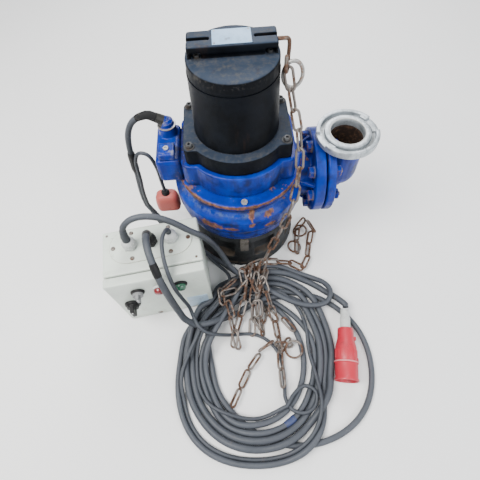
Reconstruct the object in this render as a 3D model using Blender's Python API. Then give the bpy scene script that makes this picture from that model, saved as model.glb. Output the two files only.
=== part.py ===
import math

import bmesh
import bpy
from mathutils import Matrix, Vector

# Gap left between two pieces that touch, metres
GAP = 0.0003
# Sides of large, middle and small round pieces
MANY_SIDES = 48
SOME_SIDES = 24
FEW_SIDES = 12

# Stand ring under the pump
STAND_FOOT_RADIUS = 0.1336
STAND_WALL_RADIUS = 0.1280
STAND_FOOT_HEIGHT = 0.010
STAND_TOP = 0.1300
STAND_WINDOWS = 8
STAND_WINDOW_WIDTH = 0.052
STAND_WINDOW_HEIGHT = 0.070
STAND_WINDOW_DEPTH = 0.022

# Volute casing, discharge axis along +X through the pump axis
VOLUTE_BOTTOM = STAND_TOP + GAP
VOLUTE_LIP_RADIUS = 0.1320
VOLUTE_BELLY_RADIUS = 0.1430
VOLUTE_SHOULDER_RADIUS = 0.1310
VOLUTE_TOP = 0.2580
DISCHARGE_HEIGHT = 0.2000
NECK_RADIUS = 0.0570
FLANGE_RADIUS = 0.0925
VOLUTE_FLANGE_BACK = 0.1550
VOLUTE_FLANGE_FACE = 0.1770
GASKET_THICKNESS = 0.0030
GASKET_RADIUS = 0.0610
ELBOW_FLANGE_THICKNESS = 0.0170
FLANGE_BOLT_CIRCLE = 0.0725
FLANGE_BOLT_RADIUS = 0.0130
FLANGE_BOLT_HEAD = 0.0120

# Elbow and its fixed hose coupling
ELBOW_RADIUS = 0.0400
ELBOW_BORE = 0.0330
ELBOW_CORNER_HEIGHT = 0.2050
COUPLING_X = 0.2225
COUPLING_RADIUS = 0.0630
COUPLING_BOTTOM = 0.2935
COUPLING_TOP = 0.3090
COUPLING_GROOVE_OUTER = 0.0495
COUPLING_GROOVE_INNER = 0.0455
COUPLING_GROOVE_DEPTH = 0.0080
COUPLING_SEAL_INNER = 0.0350

# Oil chamber and cable entry
CHAMBER_BOTTOM = VOLUTE_TOP + GAP
CHAMBER_TOP = 0.3137
CHAMBER_HALF_WIDTH = 0.1130
CHAMBER_HALF_DEPTH = 0.0700
CHAMBER_RADIUS = 0.1080
ENTRY_LEFT = -0.1620
ENTRY_RIGHT = -(CHAMBER_HALF_WIDTH + GAP)
ENTRY_FRONT = -0.0560
ENTRY_BACK = 0.0480
ENTRY_BOTTOM = VOLUTE_TOP + GAP
ENTRY_TOP = 0.3180
ENTRY_PAD_HEIGHT = 0.0160
GLAND_CENTRE = (-0.1370, 0.0240)
GLAND_BOSS_RADIUS = 0.0172
GLAND_BOSS_TOP = 0.3360
GLAND_RING_HEIGHT = 0.0030
GLAND_AXIS = Vector((-0.85, 0.0, 0.5268))

# Motor
MOTOR_FLANGE_BOTTOM = CHAMBER_TOP + GAP
MOTOR_FLANGE_TOP = 0.3515
MOTOR_FLANGE_RADIUS = 0.0995
MOTOR_FLANGE_HALF_WIDTH = 0.1015
MOTOR_FLANGE_HALF_DEPTH = 0.0640
MOTOR_BOLT_X = 0.0895
MOTOR_BOLT_Y = 0.0530
MOTOR_FOOT_RADIUS = 0.0803
MOTOR_HEAD_RADIUS = 0.0752
CAP_BOTTOM = 0.4700
CAP_TOP = 0.4940
HANDLE_TOP = 0.5170
HANDLE_HALF_LENGTH = 0.0700
HANDLE_FRONT = -0.0180
HANDLE_BACK = 0.0260
HANDLE_SLOT_START = 0.0340
HANDLE_SLOT_WIDTH = 0.0072
HANDLE_SLOT_DEPTH = 0.0140
PLATE_HALF_LENGTH = 0.0300
PLATE_THICKNESS = 0.0010

# Lifting chain: long-link chain of 5 mm wire
LINK_WIRE = 0.0050
LINK_PITCH = 0.0350
LINK_HALF_WIDTH = 0.0072
LINK_OVERLAP = 0.0016
STRAND_STEP = 0.0007
SHACKLE_WIRE = 0.0064
RING_HALF_WIDTH = 0.0165
RING_HALF_HEIGHT = 0.0225

# Control box, in its own frame: X along the door, Y to the back, Z up
BOX_PLACE = Vector((-0.1850, -0.2190, 0.0))
BOX_TURN = math.radians(7.3)
BOX_WIDTH = 0.2000
BOX_DEPTH = 0.1040
BOX_HEIGHT = 0.1970
BOX_ROUND = 0.0040
DOOR_THICKNESS = 0.0200
DOOR_SEAL = 0.0030
GLAND_PLATE_LENGTH = 0.1700
GLAND_PLATE_WIDTH = 0.0780
GLAND_PLATE_THICKNESS = 0.0020
GLAND_ROW_Y = 0.0600
BOX_GLAND_PITCH = 0.0420
DEVICE_HEIGHT = 0.1530
DEVICE_PITCH = 0.0440
BEZEL_RADIUS = 0.0145
BEZEL_THICKNESS = 0.0050
KNOB_RADIUS = 0.0110
MAIN_SWITCH = (-0.0700, 0.0980)
MAIN_SWITCH_RADIUS = 0.0160

# Cords
PUMP_CABLE = 0.0125
SUPPLY_CABLE = 0.0145
FLOAT_CABLE = 0.0080
BESIDE_PUMP_CABLE = 0.0122
COIL_CENTRE = (0.0145, -0.3675)
COIL_OUTER = (0.1450, 0.2125)
COIL_HOLE_CENTRE = (0.0160, -0.3950)
COIL_HOLE = (0.0800, 0.0920)
COIL_EGG = 1.2
COIL_HOLE_EGG = 0.6
COIL_HEIGHT = 0.0420

# Plug lying on the floor, measured from its cable nut
PLUG_START = Vector((0.2201, -0.2770, 0.0262))
PLUG_AXIS = Vector((-0.1700, -0.9854, 0.0))
PLUG_NUT_LENGTH = 0.0440
PLUG_BODY_LENGTH = 0.0720
PLUG_FRONT_LENGTH = 0.0400

# Float switch hanging from its cable
FLOAT_CENTRE = (-0.1780, 0.0000)
FLOAT_BOTTOM = 0.0960
FLOAT_TOP = 0.1500
FLOAT_COLLAR_TOP = 0.1610


def clearScene():
    for item in list(bpy.data.objects):
        bpy.data.objects.remove(item, do_unlink=True)


def makeMaterial(name, colour, roughness, metallic=0.0):
    material = bpy.data.materials.new(name)
    material.use_nodes = True
    shader = material.node_tree.nodes["Principled BSDF"]
    shader.inputs["Base Color"].default_value = (*colour, 1.0)
    shader.inputs["Roughness"].default_value = roughness
    shader.inputs["Metallic"].default_value = metallic
    return material


def makeMaterials():
    return {
        "bluePaint": makeMaterial("blue_paint", (0.01, 0.08, 0.42), 0.45),
        "blackPaint": makeMaterial("black_paint", (0.03, 0.035, 0.045), 0.5),
        "dustyIron": makeMaterial("dusty_iron", (0.05, 0.05, 0.05), 0.8),
        "aluminium": makeMaterial("aluminium", (0.75, 0.77, 0.78), 0.4, 0.9),
        "rustySteel": makeMaterial("rusty_steel", (0.30, 0.14, 0.08), 0.75, 0.4),
        "zincSteel": makeMaterial("zinc_steel", (0.55, 0.55, 0.53), 0.45, 0.9),
        "rubber": makeMaterial("black_rubber", (0.03, 0.03, 0.03), 0.7),
        "cable": makeMaterial("grey_cable", (0.10, 0.11, 0.12), 0.6),
        "boxPaint": makeMaterial("box_paint", (0.72, 0.76, 0.70), 0.5),
        "redPlastic": makeMaterial("red_plastic", (0.65, 0.04, 0.05), 0.4),
        "salmonPlastic": makeMaterial("salmon_plastic", (0.62, 0.18, 0.15), 0.5),
        "greyPlastic": makeMaterial("grey_plastic", (0.60, 0.61, 0.60), 0.5),
        "blackPlastic": makeMaterial("black_plastic", (0.02, 0.02, 0.02), 0.4),
        "greenLens": makeMaterial("green_lens", (0.02, 0.20, 0.08), 0.2),
        "bluePlate": makeMaterial("plain_plate", (0.55, 0.68, 0.80), 0.35),
    }


def meshObject(name, shape, material):
    bmesh.ops.recalc_face_normals(shape, faces=shape.faces)
    mesh = bpy.data.meshes.new(name)
    shape.to_mesh(mesh)
    shape.free()
    item = bpy.data.objects.new(name, mesh)
    bpy.context.scene.collection.objects.link(item)
    mesh.materials.append(material)
    mesh.shade_smooth()
    mesh.set_sharp_from_angle(angle=math.radians(35))
    return item


def bakeModifiers(item):
    bpy.context.view_layer.update()
    graph = bpy.context.evaluated_depsgraph_get()
    mesh = bpy.data.meshes.new_from_object(item.evaluated_get(graph))
    item.modifiers.clear()
    item.data = mesh
    item.data.name = item.name


def combine(target, others, operation):
    for other in others:
        step = target.modifiers.new(operation.lower(), "BOOLEAN")
        step.operation = operation
        step.solver = "EXACT"
        step.object = other
    bakeModifiers(target)
    for other in others:
        bpy.data.objects.remove(other, do_unlink=True)
    return target


def fuse(target, *others):
    return combine(target, others, "UNION")


def cut(target, *others):
    return combine(target, others, "DIFFERENCE")


def keepLargestShell(item):
    """Drop the tiny closed pockets that a union leaves where wires cross."""
    shape = bmesh.new()
    shape.from_mesh(item.data)
    left = set(shape.faces)
    shells = []
    while left:
        frontier = [left.pop()]
        shell = set(frontier)
        while frontier:
            here = frontier.pop()
            for edge in here.edges:
                for other in edge.link_faces:
                    if other in left:
                        left.discard(other)
                        shell.add(other)
                        frontier.append(other)
        shells.append(shell)
    shells.sort(key=len)
    loose = [face for shell in shells[:-1] for face in shell]
    bmesh.ops.delete(shape, geom=loose, context="FACES")
    shape.to_mesh(item.data)
    shape.free()


def ringPoints(radius, height, sides, centre=(0.0, 0.0)):
    points = []
    for index in range(sides):
        angle = 2.0 * math.pi * index / sides
        x = centre[0] + radius * math.cos(angle)
        y = centre[1] + radius * math.sin(angle)
        points.append(Vector((x, y, height)))
    return points


def skinLoops(shape, loops, closeLoop=False):
    rows = [[shape.verts.new(point) for point in loop] for loop in loops]
    pairs = list(zip(rows, rows[1:]))
    if closeLoop:
        pairs.append((rows[-1], rows[0]))
    for lower, upper in pairs:
        count = len(lower)
        for index in range(count):
            after = (index + 1) % count
            shape.faces.new((lower[index], lower[after], upper[after], upper[index]))
    if not closeLoop:
        shape.faces.new(list(reversed(rows[0])))
        shape.faces.new(rows[-1])


def turnedShape(profile, sides, centre=(0.0, 0.0), hollow=False):
    """profile: (radius, height) pairs, bottom to top; hollow closes it on itself."""
    shape = bmesh.new()
    skinLoops(shape, [ringPoints(radius, height, sides, centre) for radius, height in profile], hollow)
    return shape


def turned(name, profile, material, sides=SOME_SIDES, centre=(0.0, 0.0), hollow=False):
    return meshObject(name, turnedShape(profile, sides, centre, hollow), material)


def aimed(item, start, direction):
    """Turn a piece made along +Z so that it starts at a point and runs along a direction."""
    turn = Vector((0.0, 0.0, 1.0)).rotation_difference(Vector(direction).normalized())
    item.data.transform(Matrix.Translation(Vector(start)) @ turn.to_matrix().to_4x4())
    return item


def arcPoints(centre, radius, startDegrees, endDegrees, count):
    points = []
    for index in range(count + 1):
        angle = math.radians(startDegrees + (endDegrees - startDegrees) * index / count)
        points.append((centre[0] + radius * math.cos(angle), centre[1] + radius * math.sin(angle)))
    return points


def roundedOutline(halfWidth, halfDepth, radius, count=4, centre=(0.0, 0.0)):
    points = []
    for signX, signY, start in ((1, 1, 0), (-1, 1, 90), (-1, -1, 180), (1, -1, 270)):
        corner = (centre[0] + signX * (halfWidth - radius), centre[1] + signY * (halfDepth - radius))
        points += arcPoints(corner, radius, start, start + 90, count)
    return points


def slab(name, outline, bottom, top, material):
    shape = bmesh.new()
    skinLoops(shape, [[Vector((x, y, height)) for x, y in outline] for height in (bottom, top)])
    return meshObject(name, shape, material)


def block(name, low, high, material, bevel=0.0, segments=2):
    shape = bmesh.new()
    size = [high[axis] - low[axis] for axis in range(3)]
    middle = [(high[axis] + low[axis]) / 2 for axis in range(3)]
    bmesh.ops.create_cube(shape, size=1.0, matrix=Matrix.Translation(middle) @ Matrix.Diagonal((*size, 1.0)))
    if bevel:
        bmesh.ops.bevel(shape, geom=list(shape.edges), offset=bevel, segments=segments, profile=0.5,
                        affect="EDGES", clamp_overlap=True)
    return meshObject(name, shape, material)


def smoothRoute(points, spacing):
    """Points at an even spacing on a smooth curve through the route's own points."""
    route = [Vector(point) for point in points]
    dense = []
    for index in range(len(route) - 1):
        before = route[index - 1] if index else 2 * route[0] - route[1]
        after = route[index + 2] if index + 2 < len(route) else 2 * route[-1] - route[-2]
        here, there = route[index], route[index + 1]
        for step in range(20):
            part = step / 20
            dense.append(0.5 * (2 * here + (there - before) * part
                                + (2 * before - 5 * here + 4 * there - after) * part ** 2
                                + (3 * here - before - 3 * there + after) * part ** 3))
    dense.append(route[-1])
    lengths = [0.0]
    for first, second in zip(dense, dense[1:]):
        lengths.append(lengths[-1] + (second - first).length)
    count = max(2, round(lengths[-1] / spacing))
    result = []
    cursor = 0
    for index in range(count + 1):
        want = lengths[-1] * index / count
        while cursor < len(dense) - 2 and lengths[cursor + 1] < want:
            cursor += 1
        span = max(lengths[cursor + 1] - lengths[cursor], 1e-9)
        result.append(dense[cursor].lerp(dense[cursor + 1], min(1.0, (want - lengths[cursor]) / span)))
    return result


def cord(name, route, diameter, material, resolution=2):
    """A tube along a smooth curve; the route's first and last steps stay straight."""
    points = [Vector(route[0])] + smoothRoute(route[1:-1], 2.4 * diameter) + [Vector(route[-1])]
    curve = bpy.data.curves.new(name, "CURVE")
    curve.dimensions = "3D"
    curve.bevel_depth = diameter / 2
    curve.bevel_resolution = resolution
    curve.use_fill_caps = True
    curve.materials.append(material)
    spline = curve.splines.new("POLY")
    spline.points.add(len(points) - 1)
    for target, point in zip(spline.points, points):
        target.co = (*point, 1.0)
    item = bpy.data.objects.new(name, curve)
    bpy.context.scene.collection.objects.link(item)
    return item


def wireShape(path, radius, sides, closed):
    """A round wire along a path, as one closed body."""
    shape = bmesh.new()
    loops = []
    count = len(path)
    side = None
    for index, point in enumerate(path):
        before = path[index - 1] if (index or closed) else point
        after = path[(index + 1) % count] if (index + 1 < count or closed) else point
        along = (after - before).normalized()
        if side is None:
            side = along.orthogonal().normalized()
        side = (side - side.dot(along) * along).normalized()
        across = along.cross(side)
        loops.append([point + radius * (math.cos(2 * math.pi * k / sides) * side
                                        + math.sin(2 * math.pi * k / sides) * across) for k in range(sides)])
    skinLoops(shape, loops, closed)
    return shape


def buildStand(materials):
    stand = turned("stand_ring", [
        (STAND_FOOT_RADIUS, 0.0), (STAND_FOOT_RADIUS, STAND_FOOT_HEIGHT),
        (STAND_WALL_RADIUS, STAND_FOOT_HEIGHT + 0.003), (STAND_WALL_RADIUS, STAND_TOP)],
        materials["dustyIron"], MANY_SIDES)
    cutters = []
    for index in range(STAND_WINDOWS):
        angle = 2 * math.pi * (index + 0.5) / STAND_WINDOWS
        middle = (STAND_FOOT_HEIGHT + STAND_TOP) / 2
        cutter = block("window_cutter", (STAND_WALL_RADIUS - STAND_WINDOW_DEPTH, -STAND_WINDOW_WIDTH / 2,
                                         middle - STAND_WINDOW_HEIGHT / 2),
                       (STAND_WALL_RADIUS + 0.05, STAND_WINDOW_WIDTH / 2, middle + STAND_WINDOW_HEIGHT / 2),
                       materials["dustyIron"])
        cutter.data.transform(Matrix.Rotation(angle, 4, "Z"))
        cutters.append(cutter)
    cut(stand, *cutters)


def buildVolute(materials):
    volute = turned("volute_casing", [
        (VOLUTE_LIP_RADIUS - 0.006, VOLUTE_BOTTOM), (VOLUTE_LIP_RADIUS, VOLUTE_BOTTOM + 0.004),
        (VOLUTE_LIP_RADIUS, VOLUTE_BOTTOM + 0.014), (VOLUTE_LIP_RADIUS + 0.006, VOLUTE_BOTTOM + 0.022),
        (VOLUTE_BELLY_RADIUS, DISCHARGE_HEIGHT - 0.016), (VOLUTE_BELLY_RADIUS, DISCHARGE_HEIGHT + 0.014),
        (VOLUTE_SHOULDER_RADIUS + 0.003, VOLUTE_TOP - 0.036),
        (VOLUTE_SHOULDER_RADIUS - 0.004, VOLUTE_TOP - 0.028),
        (VOLUTE_SHOULDER_RADIUS - 0.004, VOLUTE_TOP - 0.016), (VOLUTE_SHOULDER_RADIUS, VOLUTE_TOP - 0.012),
        (VOLUTE_SHOULDER_RADIUS, VOLUTE_TOP)],
        materials["bluePaint"], MANY_SIDES)
    neck = turned("neck", [(NECK_RADIUS, 0.060), (NECK_RADIUS, VOLUTE_FLANGE_BACK + 0.002)],
                  materials["bluePaint"],
                  SOME_SIDES)
    aimed(neck, (0.0, 0.0, DISCHARGE_HEIGHT), (1.0, 0.0, 0.0))
    flange = dischargeFlange("flange", VOLUTE_FLANGE_BACK, VOLUTE_FLANGE_FACE, materials["bluePaint"])
    fuse(volute, neck, flange)
    turned("oil_plug", [(0.0065, VOLUTE_TOP + GAP), (0.0065, VOLUTE_TOP + 0.0045)], materials["zincSteel"],
           FEW_SIDES, (0.0046, -0.1198))


def dischargeFlange(name, back, face, material):
    disc = turned(name, [(FLANGE_RADIUS - 0.001, 0.0), (FLANGE_RADIUS, 0.001),
                         (FLANGE_RADIUS, face - back - 0.001),
                         (FLANGE_RADIUS - 0.001, face - back)], material, 36)
    return aimed(disc, (back, 0.0, DISCHARGE_HEIGHT), (1.0, 0.0, 0.0))


def elbowPieces(start, top, radius, material):
    """Level pipe, round corner and upright pipe of an elbow."""
    level = turned("level", [(radius, 0.0), (radius, COUPLING_X - start)], material, SOME_SIDES)
    aimed(level, (start, 0.0, DISCHARGE_HEIGHT), (1.0, 0.0, 0.0))
    ball = bmesh.new()
    place = Matrix.Translation((COUPLING_X, 0.0, ELBOW_CORNER_HEIGHT))
    bmesh.ops.create_uvsphere(ball, u_segments=SOME_SIDES, v_segments=FEW_SIDES, radius=radius, matrix=place)
    corner = meshObject("corner", ball, material)
    upright = turned("upright", [(radius, ELBOW_CORNER_HEIGHT), (radius, top)], material, SOME_SIDES,
                     (COUPLING_X, 0.0))
    return level, corner, upright


def buildDischarge(materials):
    gasketStart = VOLUTE_FLANGE_FACE + GAP
    gasketEnd = gasketStart + GASKET_THICKNESS
    gasket = turned("discharge_gasket", [(ELBOW_BORE, gasketStart), (GASKET_RADIUS, gasketStart),
                                         (GASKET_RADIUS, gasketEnd), (ELBOW_BORE, gasketEnd)],
                    materials["rubber"], SOME_SIDES, hollow=True)
    aimed(gasket, (0.0, 0.0, DISCHARGE_HEIGHT), (1.0, 0.0, 0.0))

    flangeStart = gasketEnd + GAP
    flangeEnd = flangeStart + ELBOW_FLANGE_THICKNESS
    elbow = dischargeFlange("discharge_elbow", flangeStart, flangeEnd, materials["bluePaint"])
    top = COUPLING_BOTTOM - GAP
    fuse(elbow, *elbowPieces(flangeStart + 0.001, top, ELBOW_RADIUS, materials["bluePaint"]))
    cut(elbow, *elbowPieces(flangeStart - 0.01, top + 0.01, ELBOW_BORE, materials["bluePaint"]))

    sides = (("front_low", -1, -1), ("front_high", -1, 1), ("back_low", 1, -1), ("back_high", 1, 1))
    offset = FLANGE_BOLT_CIRCLE * math.sqrt(0.5)
    for label, signY, signZ in sides:
        bolt = turned("discharge_bolt_" + label, [(FLANGE_BOLT_RADIUS, 0.0),
                                                  (FLANGE_BOLT_RADIUS, FLANGE_BOLT_HEAD)],
                      materials["rustySteel"], 6)
        aimed(bolt, (VOLUTE_FLANGE_BACK - GAP, signY * offset, DISCHARGE_HEIGHT + signZ * offset),
              (-1.0, 0.0, 0.0))


def buildCoupling(materials):
    groove = COUPLING_TOP - COUPLING_GROOVE_DEPTH
    profile = [
        (ELBOW_BORE, COUPLING_BOTTOM), (COUPLING_RADIUS - 0.002, COUPLING_BOTTOM),
        (COUPLING_RADIUS, COUPLING_BOTTOM + 0.002), (COUPLING_RADIUS, COUPLING_TOP - 0.002),
        (COUPLING_RADIUS - 0.002, COUPLING_TOP),
        (COUPLING_GROOVE_OUTER, COUPLING_TOP), (COUPLING_GROOVE_OUTER, groove),
        (COUPLING_GROOVE_INNER, groove),
        (COUPLING_GROOVE_INNER, COUPLING_TOP - 0.001), (COUPLING_SEAL_INNER, COUPLING_TOP - 0.001),
        (ELBOW_BORE, COUPLING_TOP - 0.006)]
    ring = turned("coupling_ring", profile, materials["aluminium"], 36, (COUPLING_X, 0.0), hollow=True)
    lugs = []
    for middle in (0, 180):
        outline = arcPoints((0, 0), COUPLING_RADIUS - 0.002, middle - 26, middle + 26, 6)
        outline += arcPoints((0, 0), COUPLING_GROOVE_OUTER + 0.003, middle + 26, middle - 26, 6)
        outline = [(x + COUPLING_X, y) for x, y in outline]
        lugs.append(slab("lug", outline, COUPLING_TOP - 0.004, COUPLING_TOP + 0.003, materials["aluminium"]))
    fuse(ring, *lugs)


def wideFlange(name, bottom, top, radius, halfWidth, halfDepth, corner, material):
    drum = turned(name, [(radius, bottom), (radius, top)], material, MANY_SIDES)
    plate = slab("plate", roundedOutline(halfWidth, halfDepth, corner, 4), bottom, top, material)
    return fuse(drum, plate)


def buildChamber(materials):
    wideFlange("oil_chamber", CHAMBER_BOTTOM, CHAMBER_TOP, CHAMBER_RADIUS, CHAMBER_HALF_WIDTH,
               CHAMBER_HALF_DEPTH,
               0.020, materials["bluePaint"])

    entry = block("cable_entry_housing", (ENTRY_LEFT, ENTRY_FRONT, ENTRY_BOTTOM),
                  (ENTRY_RIGHT, ENTRY_BACK, ENTRY_TOP),
                  materials["bluePaint"], 0.008, 2)
    boss = turned("boss", [(GLAND_BOSS_RADIUS + 0.003, ENTRY_TOP - 0.01),
                           (GLAND_BOSS_RADIUS, GLAND_BOSS_TOP)],
                  materials["bluePaint"], SOME_SIDES, GLAND_CENTRE)
    fuse(entry, boss)
    block("entry_clamp_pad", (-0.1530, -0.0530, ENTRY_TOP + GAP),
          (-0.1215, -0.0190, ENTRY_TOP + ENTRY_PAD_HEIGHT),
          materials["zincSteel"], 0.003, 2)
    ringTop = GLAND_BOSS_TOP + GAP + GLAND_RING_HEIGHT
    gland = turned("pump_gland", [(0.0175, GLAND_BOSS_TOP + GAP), (0.0175, ringTop),
                                  (0.0150, ringTop + 0.0005),
                                  (0.0140, ringTop + 0.008), (0.0090, ringTop + 0.013)],
                   materials["bluePaint"], SOME_SIDES, GLAND_CENTRE)
    nose = turned("nose", [(0.0105, 0.0), (0.0095, 0.0200)], materials["bluePaint"], FEW_SIDES)
    aimed(nose, (*GLAND_CENTRE, ringTop + 0.007), GLAND_AXIS)
    fuse(gland, nose)


def buildMotor(materials):
    black = materials["blackPaint"]
    wideFlange("motor_flange", MOTOR_FLANGE_BOTTOM, MOTOR_FLANGE_TOP, MOTOR_FLANGE_RADIUS,
               MOTOR_FLANGE_HALF_WIDTH,
               MOTOR_FLANGE_HALF_DEPTH, 0.010, black)
    corners = (("front_left", -1, -1), ("front_right", 1, -1), ("back_left", -1, 1), ("back_right", 1, 1))
    for label, signX, signY in corners:
        turned("flange_bolt_" + label, [(0.0062, MOTOR_FLANGE_TOP + GAP),
                                        (0.0062, MOTOR_FLANGE_TOP + 0.0075)],
               materials["zincSteel"], FEW_SIDES, (signX * MOTOR_BOLT_X, signY * MOTOR_BOLT_Y))
    foot = MOTOR_FLANGE_TOP + GAP
    turned("motor_housing", [(MOTOR_FOOT_RADIUS, foot), (MOTOR_HEAD_RADIUS + 0.0009, CAP_BOTTOM)], black,
           MANY_SIDES)

    cap = turned("motor_cap", [
        (MOTOR_HEAD_RADIUS + 0.0008, CAP_BOTTOM + GAP), (MOTOR_HEAD_RADIUS + 0.0002, CAP_TOP - 0.002),
        (MOTOR_HEAD_RADIUS - 0.0018, CAP_TOP)], black, MANY_SIDES)
    handle = block("handle", (-HANDLE_HALF_LENGTH, HANDLE_FRONT, CAP_TOP - 0.004),
                   (HANDLE_HALF_LENGTH, HANDLE_BACK, HANDLE_TOP), black, 0.003, 2)
    fuse(cap, handle)
    middle = (HANDLE_FRONT + HANDLE_BACK) / 2
    slots = []
    for sign in (-1, 1):
        ends = sorted((sign * HANDLE_SLOT_START, sign * (HANDLE_HALF_LENGTH + 0.01)))
        slots.append(block("slot", (ends[0], middle - HANDLE_SLOT_WIDTH / 2, HANDLE_TOP - HANDLE_SLOT_DEPTH),
                           (ends[1], middle + HANDLE_SLOT_WIDTH / 2, HANDLE_TOP + 0.01), black))
    cut(cap, *slots)
    block("rating_plate", (-PLATE_HALF_LENGTH, HANDLE_FRONT + 0.003, HANDLE_TOP + GAP),
          (PLATE_HALF_LENGTH, HANDLE_BACK - 0.003, HANDLE_TOP + PLATE_THICKNESS), materials["aluminium"])


def linkPath(centre, along, side):
    """The middle line of one oval link."""
    straight = (LINK_PITCH + LINK_WIRE - LINK_OVERLAP) / 2 - LINK_HALF_WIDTH
    points = []
    for sign, start in ((1, -90), (-1, 90)):
        for step in range(5):
            angle = math.radians(start + 45 * step)
            points.append(centre + along * (sign * straight + LINK_HALF_WIDTH * math.cos(angle))
                          + side * (LINK_HALF_WIDTH * math.sin(angle)))
    return points


def chainLinks(route, material, startRoll, easing=0):
    """Oval links a quarter turn apart; the first ones ease round by an eighth turn in all."""
    places = smoothRoute(route, LINK_PITCH)
    links = []
    roll = startRoll
    for index, (first, second) in enumerate(zip(places, places[1:])):
        along = (second - first).normalized()
        upright = Vector((0.0, 0.0, 1.0)) if abs(along.z) < 0.9 else Vector((1.0, 0.0, 0.0))
        level = along.cross(upright).normalized()
        side = Matrix.Rotation(roll, 3, along) @ level
        path = linkPath((first + second) / 2, along, side)
        links.append(meshObject("link", wireShape(path, LINK_WIRE / 2, 6, True), material))
        roll += math.pi / 2
        if index < easing:
            roll -= math.pi / 4 / easing
    return links


def looseRing(centre, radius, material):
    path = []
    for step in range(14):
        angle = 2 * math.pi * step / 14
        path.append(Vector(centre) + radius * Vector((math.cos(angle), math.sin(angle), 0.0)))
    return meshObject("ring", wireShape(path, LINK_WIRE / 2, 6, True), material)


def chain(name, links):
    """One body of links that hang in or lie across each other."""
    whole = fuse(links[0], *links[1:])
    whole.name = name
    whole.data.name = name
    keepLargestShell(whole)
    return whole


def buildChain(materials):
    rust = materials["rustySteel"]
    shackle = [Vector(point) for point in (
        (0.0400, 0.0040, 0.5085), (0.0780, 0.0040, 0.5085), (0.0860, 0.0048, 0.5075),
        (0.0890, 0.0058, 0.5020),
        (0.0893, 0.0065, 0.4900), (0.0893, 0.0065, 0.4690), (0.0893, 0.0045, 0.4635),
        (0.0893, 0.0000, 0.4615),
        (0.0893, -0.0100, 0.4615), (0.0893, -0.0145, 0.4635), (0.0893, -0.0165, 0.4690),
        (0.0893, -0.0165, 0.4900))]
    meshObject("handle_shackle", wireShape(shackle, SHACKLE_WIRE / 2, 8, False), rust)
    ring = []
    for step in range(16):
        angle = 2 * math.pi * step / 16
        drop = RING_HALF_HEIGHT * math.sin(angle)
        ring.append(Vector((0.0975 + RING_HALF_WIDTH * math.cos(angle), -0.0050 + 0.15 * drop,
                            0.4510 + 0.99 * drop)))
    meshObject("chain_ring", wireShape(ring, LINK_WIRE / 2, 8, True), materials["zincSteel"])
    onCoil = COIL_HEIGHT + 0.0079
    onFloor = 0.0079
    overEdge = onCoil + 2 * STRAND_STEP
    ringOnFloor = LINK_WIRE / 2 + GAP
    ringOnCoil = COIL_HEIGHT + LINK_WIRE / 2 + GAP
    chain("lifting_chain", chainLinks([
        (0.0893, -0.0090, 0.4670), (0.0925, -0.0190, 0.4330), (0.1040, -0.0360, 0.3900),
        (0.1130, -0.0560, 0.3500),
        (0.1130, -0.0800, 0.3100), (0.1090, -0.1000, 0.2700), (0.1020, -0.1150, 0.2300),
        (0.0900, -0.1270, 0.1900),
        (0.0710, -0.1400, 0.1400), (0.0540, -0.1490, 0.0950), (0.0410, -0.1610, 0.0640),
        (0.0330, -0.1800, onCoil)],
        rust, math.radians(90), 10))
    heap = []
    layer = onCoil
    for strand in (
            ((0.0120, -0.2140), (-0.0040, -0.2240), (-0.0110, -0.2420), (-0.0180, -0.2620),
             (-0.0300, -0.2900), (-0.0350, -0.3080)),
            ((0.0220, -0.1990), (0.0109, -0.2392), (0.0042, -0.2950)),
            ((0.0325, -0.2062), (0.0234, -0.2546), (0.0264, -0.2950)),
            ((-0.0360, -0.2160), (-0.0590, -0.2240), (-0.0585, -0.2436), (-0.0433, -0.2614),
             (-0.0425, -0.2894), (-0.0380, -0.3100)),
            ((0.0060, -0.2180), (0.0180, -0.2160), (0.0340, -0.2140)),
            ((-0.0050, -0.2270), (-0.0160, -0.2280), (-0.0300, -0.2290), (-0.0480, -0.2300))):
        heap += chainLinks([(x, y, layer) for x, y in strand], rust, math.radians(45))
        layer += STRAND_STEP
    chain("chain_on_coil", heap)
    beside = chainLinks([
        (0.0522, -0.2716, onCoil), (0.0724, -0.2900, onCoil), (0.0865, -0.2980, onCoil),
        (0.0894, -0.3229, onCoil), (0.0870, -0.3400, onCoil)],
        rust, math.radians(45))
    beside += chainLinks([
        (0.0480, -0.2180, onCoil), (0.0520, -0.2507, onCoil), (0.0590, -0.2845, onCoil),
        (0.0640, -0.3100, overEdge), (0.0650, -0.3420, overEdge), (0.0635, -0.3590, 0.0300),
        (0.0615, -0.3700, 0.0120), (0.0600, -0.3900, onFloor), (0.0597, -0.4200, onFloor)],
        rust, math.radians(45))
    beside.append(looseRing((0.0926, -0.3562, ringOnCoil), 0.0185, rust))
    chain("chain_beside_plug", beside)
    onGround = chainLinks([
        (0.0720, -0.1640, 0.0430), (0.0920, -0.1600, 0.0160), (0.1152, -0.1520, onFloor),
        (0.1361, -0.1540, onFloor), (0.1536, -0.1380, onFloor), (0.1648, -0.1016, onFloor),
        (0.1756, -0.0666, onFloor), (0.1800, -0.0400, onFloor), (0.1673, -0.0200, onFloor),
        (0.1500, -0.0350, onFloor), (0.1410, -0.0640, onFloor), (0.1363, -0.0960, onFloor)], rust,
        math.radians(45))
    onGround.append(looseRing((0.1517, -0.0473, ringOnFloor), 0.0165, rust))
    onGround.append(looseRing((0.1300, -0.0938, ringOnFloor), 0.0160, rust))
    chain("chain_on_floor", onGround)
    chain("chain_tail", chainLinks([
        (0.0500, -0.3420, onFloor), (0.0260, -0.3500, onFloor), (0.0100, -0.3656, onFloor),
        (-0.0079, -0.3879, onFloor), (-0.0228, -0.4118, onFloor), (-0.0380, -0.4400, onFloor)], rust,
        math.radians(45)))


def boxPoint(x, y, z):
    turn = Matrix.Rotation(BOX_TURN, 4, "Z")
    return BOX_PLACE + turn @ Vector((x, y, z))


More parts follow.
